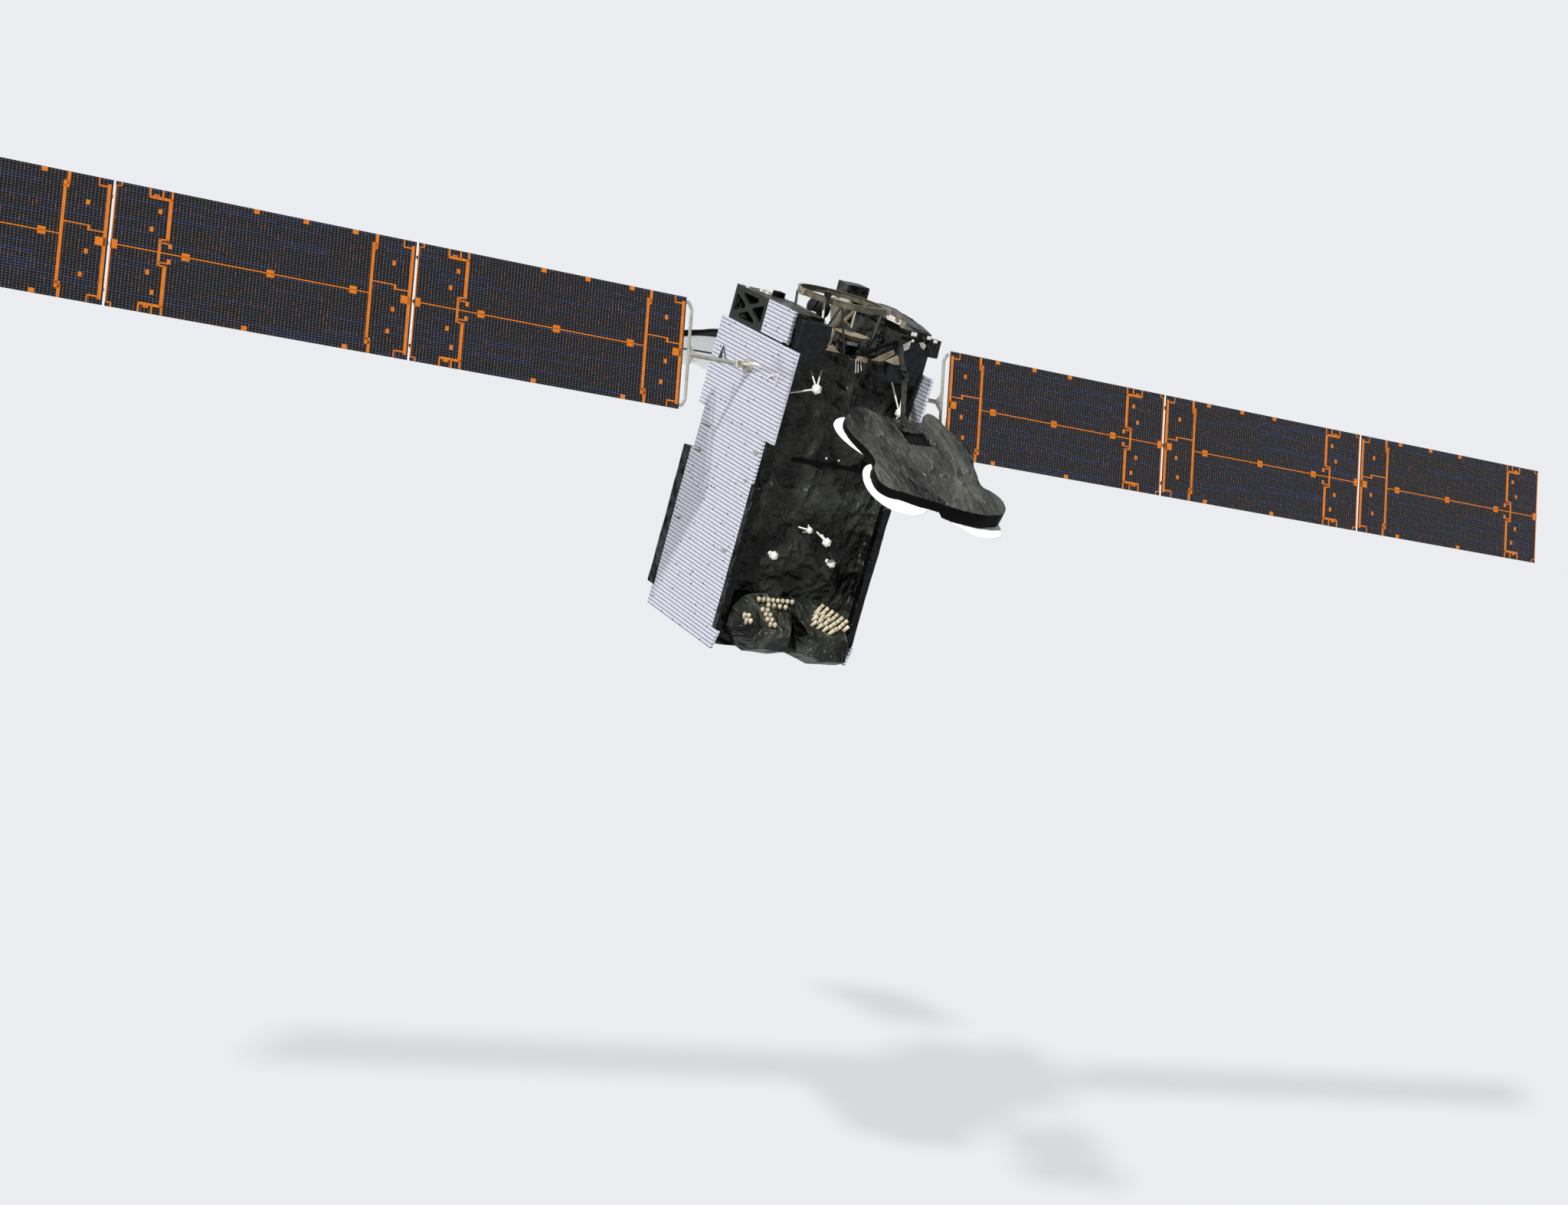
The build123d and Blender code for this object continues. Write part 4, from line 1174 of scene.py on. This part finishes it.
# Horn rows: columns are distance off the face, how much more it is at the last horn, first y,
# last y and rough pitch
SOUTH_ROWS = (
    (150, -30, -520, 20, 74),
    (222, 0, -395, -125, 90),
    (310, 0, -520, -440, 74),
    (385, 0, -500, -425, 74),
    (460, 0, -500, -425, 74),
    (535, 0, -480, -410, 70),
    (440, 0, -850, -785, 65),
    (520, 0, -850, -785, 65),
)
NORTH_ROWS = (
    (165, 205, 400, 710, 62),
    (225, 240, 330, 690, 62),
    (290, 190, 280, 560, 66),
    (360, 160, 230, 480, 66),
    (450, 100, 180, 420, 75),
)
SOUTH_AIM = (0.695, -0.443, 0.567)
NORTH_AIM = (0.438, 0.337, 0.833)
HORN_R = 27
HORN_ROOT_R = 19
HORN_L = 150
HORN_SINK = 60
HORN_SIDES = 14


def slope_z(off):
    """Height of the feed boxes' sloping top at a distance off the face."""
    return FEED_TOP_Z - max(0, off - FEED_LEDGE) * FEED_SLOPE / (FEED_FRONT - FEED_LEDGE)


class SATELLITE_OT_feeds(bpy.types.Operator):
    """Faceted feed boxes and their cream horns, on both faces"""

    bl_idname = "satellite.feeds"
    bl_label = "Feeds"

    def execute(self, context):
        s = context.scene.satellite_blankets
        for side in FACES:
            turn = Matrix() if side == "east" else HALF_TURN
            bm = bmesh.new()
            for outline in (SOUTH_FEED, NORTH_FEED):
                self.box(bm, FACE_X[side], outline)
            name = f"feed_boxes_{side}_film"
            shell = regrid(bm, FEED_GRID * s.grid_share, name)
            depth = FEED_FOLD_D * s.fold_share
            crumple_mesh(shell, FEED_SEEDS[side], UPRIGHT, FEED_STRETCH, depth)
            shell.transform(turn)
            piece = place_piece(name, shell, material("olive"), "bus", True)
            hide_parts(f"feed_boxes_{side}")
            bm = bmesh.new()
            for rows, aim in ((SOUTH_ROWS, SOUTH_AIM), (NORTH_ROWS, NORTH_AIM)):
                self.horns(bm, FACE_X[side], rows, Vector(aim))
            bmesh.ops.transform(bm, matrix=turn, verts=bm.verts[:])
            piece = finish_piece(
                f"horns_{side}_cream", bm, material("cream"), "bus", True
            )
            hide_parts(f"horns_{side}")
        return {"FINISHED"}

    def box(self, bm, x0, outline):
        """One feed box, with a chamfered front and a sloping top."""
        part = bmesh.new()
        add_outline(part, [(x0, y, z) for y, z in outline], (FEED_STEP, 0, 0))
        bmesh.ops.recalc_face_normals(part, faces=part.faces[:])
        front = max(part.faces, key=lambda f: f.calc_center_median().x)
        bmesh.ops.inset_region(
            part, faces=[front], thickness=FEED_INSET / 1000,
            depth=(FEED_FRONT - FEED_STEP) / 1000, use_even_offset=True,
        )
        slope = Vector((FEED_SLOPE, 0, FEED_FRONT - FEED_LEDGE)).normalized()
        cut_off(part, at(x0 + FEED_LEDGE, 0, FEED_TOP_Z), slope)
        top = Vector((0, 0, 1))
        cut_off(part, at(x0, 0, FEED_TOP_Z), top)
        bmesh.ops.recalc_face_normals(part, faces=part.faces[:])
        mesh = bpy.data.meshes.new("box")
        part.to_mesh(mesh)
        part.free()
        bm.from_mesh(mesh)

    def horns(self, bm, x0, rows, aim):
        """The rows of horns of one feed box."""
        for first, more, y0, y1, pitch in rows:
            steps = round((y1 - y0) / pitch)
            for i in range(steps + 1):
                off = first + more * i / steps
                root = at(x0 + off, y0 + (y1 - y0) * i / steps, slope_z(off) - HORN_SINK)
                tip = root + aim * HORN_L / 1000
                add_rod(bm, root, tip, HORN_ROOT_R, HORN_R, sides=HORN_SIDES)


# Hold-downs: columns are the head's place and radius, then the feet's y and z
UPPER_X = {"east": 700, "west": 900}
WAIST_Z = -1400
TRIPODS = (
    (1160, -706, 53, 66, ((-805, -142), (-580, 213), (-415, 227))),
    (930, 800, -93, 56, ((640, 375), (908, 375), (940, -291))),
    (940, -76, -1885, 44, ((-118, -1909), (25, -1862), (-30, -1975))),
    (970, 222, -2004, 60, ((170, -1930), (265, -1958), (330, -2090))),
)
TRIPOD_BAR_R = 12
# Posts: columns are y and z
POSTS = ((-463, -2321), (457, -2311))
POST_R = 34
POST_H = 120
POST_HEAD_R = 58
POST_SIDES = 10
# How far feet reach under the blanket, and how much a head's corners stand out of its radius
FOOT_SINK = 20
KNOB_SWELL = 1.12


def add_knob(bm, centre, r):
    """Add a many-sided head, its radius in millimetres."""
    bmesh.ops.create_icosphere(
        bm, subdivisions=1, radius=r * KNOB_SWELL / 1000, matrix=Matrix.Translation(centre)
    )


class SATELLITE_OT_hold_downs(bpy.types.Operator):
    """White tripods and posts that hold the stowed reflectors"""

    bl_idname = "satellite.hold_downs"
    bl_label = "Hold-downs"

    def execute(self, context):
        for side in FACES:
            turn = Matrix() if side == "east" else HALF_TURN
            bm = bmesh.new()
            for x, y, z, r, feet in TRIPODS:
                face = UPPER_X[side] if z > WAIST_Z else FACE_X[side]
                head = at(x, y, z)
                add_knob(bm, head, r)
                for foot_y, foot_z in feet:
                    add_rod(bm, at(face - FOOT_SINK, foot_y, foot_z), head, TRIPOD_BAR_R)
            for y, z in POSTS:
                x = FACE_X[side]
                head = at(x + POST_H, y, z)
                add_rod(bm, at(x - FOOT_SINK, y, z), head, POST_R, sides=POST_SIDES)
                add_knob(bm, head, POST_HEAD_R)
            bmesh.ops.transform(bm, matrix=turn, verts=bm.verts[:])
            piece = finish_piece(
                f"hold_downs_{side}_white", bm, material("white"), "bus"
            )
            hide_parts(f"hold_downs_{side}")
        return {"FINISHED"}


# Heat shield: a round bowl with a brown disc on its floor as painted shade, on a cup and a square
# wrapped leg
SHIELD_AT = (330, 105, 745)
SHIELD_R = 262
SHIELD_D = 95
SHIELD_FLOOR_R = 95
SHIELD_WALL = 5
SHIELD_SIDES = 48
DISC_OFF = (20, -10)
DISC_H = 30
DISC_LOW_R = 118
DISC_TOP_R = 128
DISC_SIDES = 32
CUP_SIZE = (190, 190, 60)
CUP_DROP = 25
CUP_BEVEL = 8
LEG_W = 180
LEG_DROP = 50
DECK_Z = 462


class SATELLITE_OT_heat_shield(bpy.types.Operator):
    """Bowl beside the engine: tan foil wall, a brown disc on its floor as painted shade, silver
    cup and wrapped leg
    """

    bl_idname = "satellite.heat_shield"
    bl_label = "Heat shield"

    def execute(self, context):
        x, y, z = SHIELD_AT
        bowl = bmesh.new()
        low = at(x, y, z - SHIELD_D)
        add_rod(bowl, low, at(x, y, z), SHIELD_FLOOR_R, SHIELD_R, sides=SHIELD_SIDES)
        top = max(bowl.faces, key=lambda f: f.calc_center_median().z)
        bmesh.ops.inset_region(
            bowl, faces=[top], thickness=SHIELD_WALL / 1000, use_even_offset=True
        )
        bmesh.ops.inset_region(
            bowl, faces=[top], thickness=(SHIELD_R - SHIELD_FLOOR_R - SHIELD_WALL) / 1000,
            depth=(SHIELD_WALL - SHIELD_D) / 1000, use_even_offset=True,
        )
        piece = finish_piece("shield_bowl", bowl, material("tan_foil"), "bus")
        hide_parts("heat_shield")
        # Painted shade: a brown disc on the bowl's floor.
        disc = bmesh.new()
        floor = at(x + DISC_OFF[0], y + DISC_OFF[1], z - SHIELD_D + SHIELD_WALL)
        top = floor + Vector(mm(0, 0, DISC_H))
        add_rod(disc, floor, top, DISC_LOW_R, DISC_TOP_R, sides=DISC_SIDES)
        finish_piece("shield_disc", disc, material("brown"), "bus")
        cup = bmesh.new()
        add_box(cup, at(x, y, z - SHIELD_D - CUP_DROP), CUP_SIZE)
        bevel_all(cup, CUP_BEVEL)
        finish_piece("shield_cup", cup, material("shield"), "bus")
        leg = bmesh.new()
        leg_top = z - SHIELD_D - LEG_DROP
        add_box(leg, at(x, y, (leg_top + DECK_Z) / 2), (LEG_W, LEG_W, leg_top - DECK_Z))
        # The leg takes the darker dim film as painted shade.
        finish_piece("shield_leg", leg, material("dim"), "bus")
        return {"FINISHED"}


# Fittings on the body: bars have two ends and a radius, blocks have x, y and z spans, and
# plates have corners and a thickness vector
BARS = {
    "white": (
        ((255, -392, 1085), (360, -386, 700), 17),
        ((160, 182, 800), (160, 182, 1029), 9),
        ((853, -1150, 106), (514, -1092, -20), 9),
        ((853, -1150, 106), (760, -1092, -99), 9),
        ((700, -1130, 45), (590, -1092, 40), 7),
        ((880, -66, 500), (905, -27, 320), 5),
        ((880, -30, 500), (912, 5, 330), 5),
        ((880, 10, 500), (915, 42, 363), 5),
    ),
    "black": (
        ((377, -560, 1090), (210, -520, 900), 14),
        ((960, -31, 596), (930, 440, 845), 24),
        ((830, 0, 440), (900, 0, 520), 16),
    ),
    "silver": (((-726, 608, 985), (-52, 608, 1050), 9),),
    "tan": (((0, -618, 1120), (-60, -660, 1200), 14),),
}
BLOCKS = {
    "white": (
        (325, 385, -420, -360, 760, 850),
        (240, 300, -560, -500, 872, 925),
        (905, 930, 650, 730, 962, 1010),
        (900, 925, 690, 715, 880, 910),
        (903, 925, 915, 965, 955, 1000),
        (903, 925, 1030, 1080, 925, 962),
        (716, 728, -2, 22, -930, -906),
        (716, 728, 198, 222, -930, -906),
        (-866, -830, -1075, -1040, 930, 955),
        (-700, -655, -1070, -1030, 930, 962),
        (-560, -500, -930, -880, 930, 972),
        (-460, -380, -900, -840, 930, 985),
        (545, 575, -1070, -1045, 880, 912),
        (590, 612, -1070, -1045, 885, 910),
        (715, 745, -1070, -1045, 840, 872),
        (-350, -318, 600, 640, 1040, 1075),
    ),
    "tan": (
        (205, 330, 590, 625, 1098, 1160),
        (520, 620, 590, 625, 1068, 1140),
        (690, 760, 590, 630, 1010, 1090),
        (870, 925, -60, 85, 485, 545),
        (-60, 60, -628, -600, 1080, 1166),
    ),
    "black": (
        (694, 716, -512, 641, -1040, -977),
        (-430, -290, -800, -680, 930, 1010),
        (669, 766, -1110, -1090, 483, 503),
    ),
    "olive": ((905, 930, 940, 1094, 760, 925),),
}
PLATES = {
    "silver": (
        (((925, 549, 810), (925, 673, 892), (925, 672, 776), (925, 605, 738)), (-9, 0, 0)),
        (
            ((915, 800, 890), (915, 870, 904), (915, 924, 870), (915, 905, 804), (915, 850, 830)),
            (10, 0, 0),
        ),
    ),
    "tan_foil": (
        (((150, 27, 865), (150, 157, 1052), (150, 180, 1029), (150, 165, 807)), (12, 0, 0)),
        (
            ((935, 135, 535), (935, 434, 728), (935, 468, 673), (935, 305, 543), (935, 167, 533)),
            (-12, 0, 0),
        ),
        (((935, 348, 558), (935, 517, 668), (935, 620, 550), (935, 515, 532)), (-12, 0, 0)),
        (((925, -583, 546), (925, -504, 633), (925, -366, 543)), (-12, 0, 0)),
    ),
    "black": ((((163, 80, 870), (163, 148, 975), (163, 148, 850)), (3, 0, 0)),),
}
FITTING_SLOTS = {
    "white": "white_paint", "black": "blanket", "silver": "drive_metal", "tan": "ring_alloy",
    "olive": "blanket", "tan_foil": "shield_metal",
}
FITTING_FINISH = {"black": "void", "tan": "tan_foil"}
FITTING_BEVEL = 2
# Radiator brackets: x and z on the south radiators
RADIATOR_Y = -1089
BRACKETS = (
    (-654, -1021), (-740, -1397), (-803, -2390), (768, -1005), (691, -1412), (637, -2409),
)
BRACKET_SIZE = (70, 24, 18)
BRACKET_OFF = 10
# The bracket's pin: its x from the middle, how far off the radiator it starts and ends, its
# rise and its radius
PIN_X = -22
PIN_OFF = (8, 60)
PIN_RISE = 20
PIN_R = 8
# Ribs on the tan wedge: both ends of the first rib and of the last one
RIB_FROM = ((940, 150, 540), (940, 300, 546))
RIB_TO = ((940, 430, 722), (940, 462, 676))
RIB_COUNT = 14
RIB_SHARE = 0.8
RIB_R = 5
RIB_SIDES = 4
KNOB_AT = (453, -490, 1215)
KNOB_R = 55
KNOB_FOOT = (400, -440, 1130)
KNOB_STALK_R = 20


class SATELLITE_OT_fittings(bpy.types.Operator):
    """Struts, brackets, plates and connectors round the deck and on the radiators"""

    bl_idname = "satellite.fittings"
    bl_label = "Fittings"

    def execute(self, context):
        for key, slot in FITTING_SLOTS.items():
            bm = bmesh.new()
            for p, q, r in BARS.get(key, ()):
                add_rod(bm, at(*p), at(*q), r)
            for span in BLOCKS.get(key, ()):
                add_span(bm, *span)
            for points, along in PLATES.get(key, ()):
                add_outline(bm, points, along)
            if key == "tan":
                self.brackets(bm)
                self.ribs(bm)
            if key == "olive":
                add_knob(bm, at(*KNOB_AT), KNOB_R)
                add_rod(bm, at(*KNOB_AT), at(*KNOB_FOOT), KNOB_STALK_R)
            bevel_all(bm, FITTING_BEVEL)
            finish = material(FITTING_FINISH.get(key, key))
            finish_piece(f"fittings_{key}", bm, finish, "bus")
        return {"FINISHED"}

    def brackets(self, bm):
        """Brackets with a pin on the south radiators."""
        for x, z in BRACKETS:
            add_box(bm, at(x, RADIATOR_Y - BRACKET_OFF, z), BRACKET_SIZE)
            start = at(x + PIN_X, RADIATOR_Y - PIN_OFF[0], z)
            add_rod(bm, start, at(x + PIN_X, RADIATOR_Y - PIN_OFF[1], z + PIN_RISE), PIN_R)

    def ribs(self, bm):
        """Thin ribs across the tan wedge."""
        (a, b), (c, d) = RIB_FROM, RIB_TO
        for i in range(RIB_COUNT):
            share = i / (RIB_COUNT - 1)
            p = at(*a).lerp(at(*c), share)
            q = at(*b).lerp(at(*d), share)
            add_rod(bm, p, p.lerp(q, RIB_SHARE), RIB_R, sides=RIB_SIDES)


# Wing strips: the panel's width, its face over its middle plane, and how deep strips sink in
PANEL_W = 1500
FACE_N = 12
STRIP_SINK = 0.4
# Orange strips on one panel: columns are from and to along the panel, counted from its inner
# edge, and from and to across it
INNER_STRIPS = (
    (22, 64, -690, 690),
    (30, 157, -52, 48),
    (62, 178, 648, 668),
    (162, 178, 648, 745),
    (62, 198, -668, -648),
    (182, 198, -745, -648),
    (548, 588, -592, 592),
    (512, 552, 592, 748),
    (512, 552, -748, -592),
    (520, 592, 560, 640),
    (520, 592, -640, -560),
    (258, 550, 152, 166),
    (230, 262, 98, 166),
    (64, 235, 104, 118),
)
INNER_SQUARES = ((284, 430), (252, -150), (297, -434))
OUTER_STRIPS = (
    (0, 16, -700, 700),
    (0, 84, -54, 54),
    (0, 82, 692, 706),
    (62, 82, 692, 745),
    (0, 82, -706, -692),
    (62, 82, -745, -692),
    (664, 710, 150, 660),
    (411, 710, 628, 660),
    (411, 434, 628, 746),
    (572, 594, 640, 746),
    (684, 710, 640, 746),
    (470, 540, 664, 684),
    (584, 706, 148, 168),
    (584, 706, 112, 126),
    (580, 612, -168, 168),
    (584, 706, -126, -112),
    (584, 706, -168, -148),
    (655, 701, -660, -150),
    (393, 701, -660, -628),
    (393, 416, -746, -628),
    (556, 578, -746, -640),
    (676, 701, -746, -640),
    (455, 525, -684, -664),
)
OUTER_SQUARES = ((567, 487), (479, 259), (476, -261), (552, -492), (724, 92), (722, -93))
SQUARE = (46, 58)
# The middle line: its width and its start, then the two sides of its break and its end,
# counted from the outer edge
LINE_W = 14
LINE_START = 588
LINE_BREAK = (612, 580)
LINE_END = 84
PAD = (98, 92)
PADS = (797, 1880, 2956)
TAB = (72, 56)
TAB_INSET = 3
TOP_TABS = (828, 1480, 2120)
BOTTOM_TABS = (845, 2150)
HINGE_GAP = 28


def panel_span(i):
    """The inner and outer ends of panel i, in millimetres from the wing's root."""
    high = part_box(f"panel_north_{i}")[1]
    fold = [abs(JOINTS[f"panel_fold_north_{k}"]["pos_m"][1]) * 1000 for k in PANELS]
    start = fold[i - 1] + HINGE_GAP / 2
    end = fold[i] - HINGE_GAP / 2 if i < len(fold) else high.y * 1000
    return start, end


def strip_rectangles():
    """Every orange rectangle of a panel: along from its inner edge, and across."""
    start, end = panel_span(2)
    length = end - start
    out = list(INNER_STRIPS)
    out += [(length - b, length - a, c, d) for a, b, c, d in OUTER_STRIPS]
    out.append((LINE_START, length - LINE_BREAK[0], -LINE_W / 2, LINE_W / 2))
    out.append((length - LINE_BREAK[1], length - LINE_END, -LINE_W / 2, LINE_W / 2))
    du, dv = SQUARE[0] / 2, SQUARE[1] / 2
    squares = list(INNER_SQUARES) + [(length - a, v) for a, v in OUTER_SQUARES]
    out += [(a - du, a + du, v - dv, v + dv) for a, v in squares]
    du, dv = PAD[0] / 2, PAD[1] / 2
    out += [(a - du, a + du, -dv, dv) for a in PADS]
    half, du = PANEL_W / 2, TAB[0] / 2
    out += [(a - du, a + du, half - TAB[1], half - TAB_INSET) for a in TOP_TABS]
    out += [(a - du, a + du, TAB_INSET - half, TAB[1] - half) for a in BOTTOM_TABS]
    return out


class SATELLITE_OT_strips(bpy.types.Operator):
    """Orange film strips and pads on the cell side of each panel"""

    bl_idname = "satellite.strips"
    bl_label = "Film strips"

    def execute(self, context):
        t = context.scene.satellite_wings.strip_t
        n = FACE_N + t / 2 - STRIP_SINK
        turn = Matrix.Rotation(-TILT, 3, "Y")
        for side, sign in SIDES:
            for i in PANELS:
                start = panel_span(i)[0]
                bm = bmesh.new()
                for a, b, c, d in strip_rectangles():
                    middle = on_wing(sign, start + (a + b) / 2, (c + d) / 2, n)
                    add_box(bm, middle, (t, b - a, d - c), turn)
                finish_piece(
                    f"strips_{side}_{i}", bm, material("film"), f"wing_{side}_{i}"
                )
        return {"FINISHED"}


class SATELLITE_PT_panel(bpy.types.Panel):
    """Sizes and colours, and one button for each group of pieces"""

    bl_idname = "SATELLITE_PT_panel"
    bl_label = "Satellite"
    bl_space_type = "VIEW_3D"
    bl_region_type = "UI"
    bl_category = "Satellite"

    def draw(self, context):
        for group in GROUPS:
            settings = getattr(context.scene, group)
            box = self.layout.box()
            for name in settings.bl_rna.properties.keys():
                if name not in ("rna_type", "name"):
                    box.prop(settings, name)
        for operator in OPERATORS:
            self.layout.operator(operator.bl_idname)


GROUPS = {
    "satellite_stage": SatelliteStage,
    "satellite_blankets": SatelliteBlankets,
    "satellite_radiators": SatelliteRadiators,
    "satellite_wings": SatelliteWings,
}
OPERATORS = (
    SATELLITE_OT_stage,
    SATELLITE_OT_finishes,
    SATELLITE_OT_blankets,
    SATELLITE_OT_reflectors,
    SATELLITE_OT_feeds,
    SATELLITE_OT_hold_downs,
    SATELLITE_OT_heat_shield,
    SATELLITE_OT_fittings,
    SATELLITE_OT_strips,
)


def register():
    for group in GROUPS.values():
        bpy.utils.register_class(group)
    for operator in OPERATORS:
        bpy.utils.register_class(operator)
    bpy.utils.register_class(SATELLITE_PT_panel)
    for name, group in GROUPS.items():
        setattr(bpy.types.Scene, name, PointerProperty(type=group))


def unregister():
    for name in GROUPS:
        delattr(bpy.types.Scene, name)
    bpy.utils.unregister_class(SATELLITE_PT_panel)
    for operator in reversed(OPERATORS):
        bpy.utils.unregister_class(operator)
    for group in GROUPS.values():
        bpy.utils.unregister_class(group)


def corners(box):
    """A box as plain lists of numbers."""
    return [[float(v) for v in corner] for corner in box]


def main():
    register()
    for operator in OPERATORS:
        getattr(bpy.ops.satellite, operator.bl_idname.split(".")[1])()


if __name__ == "__main__":
    main()
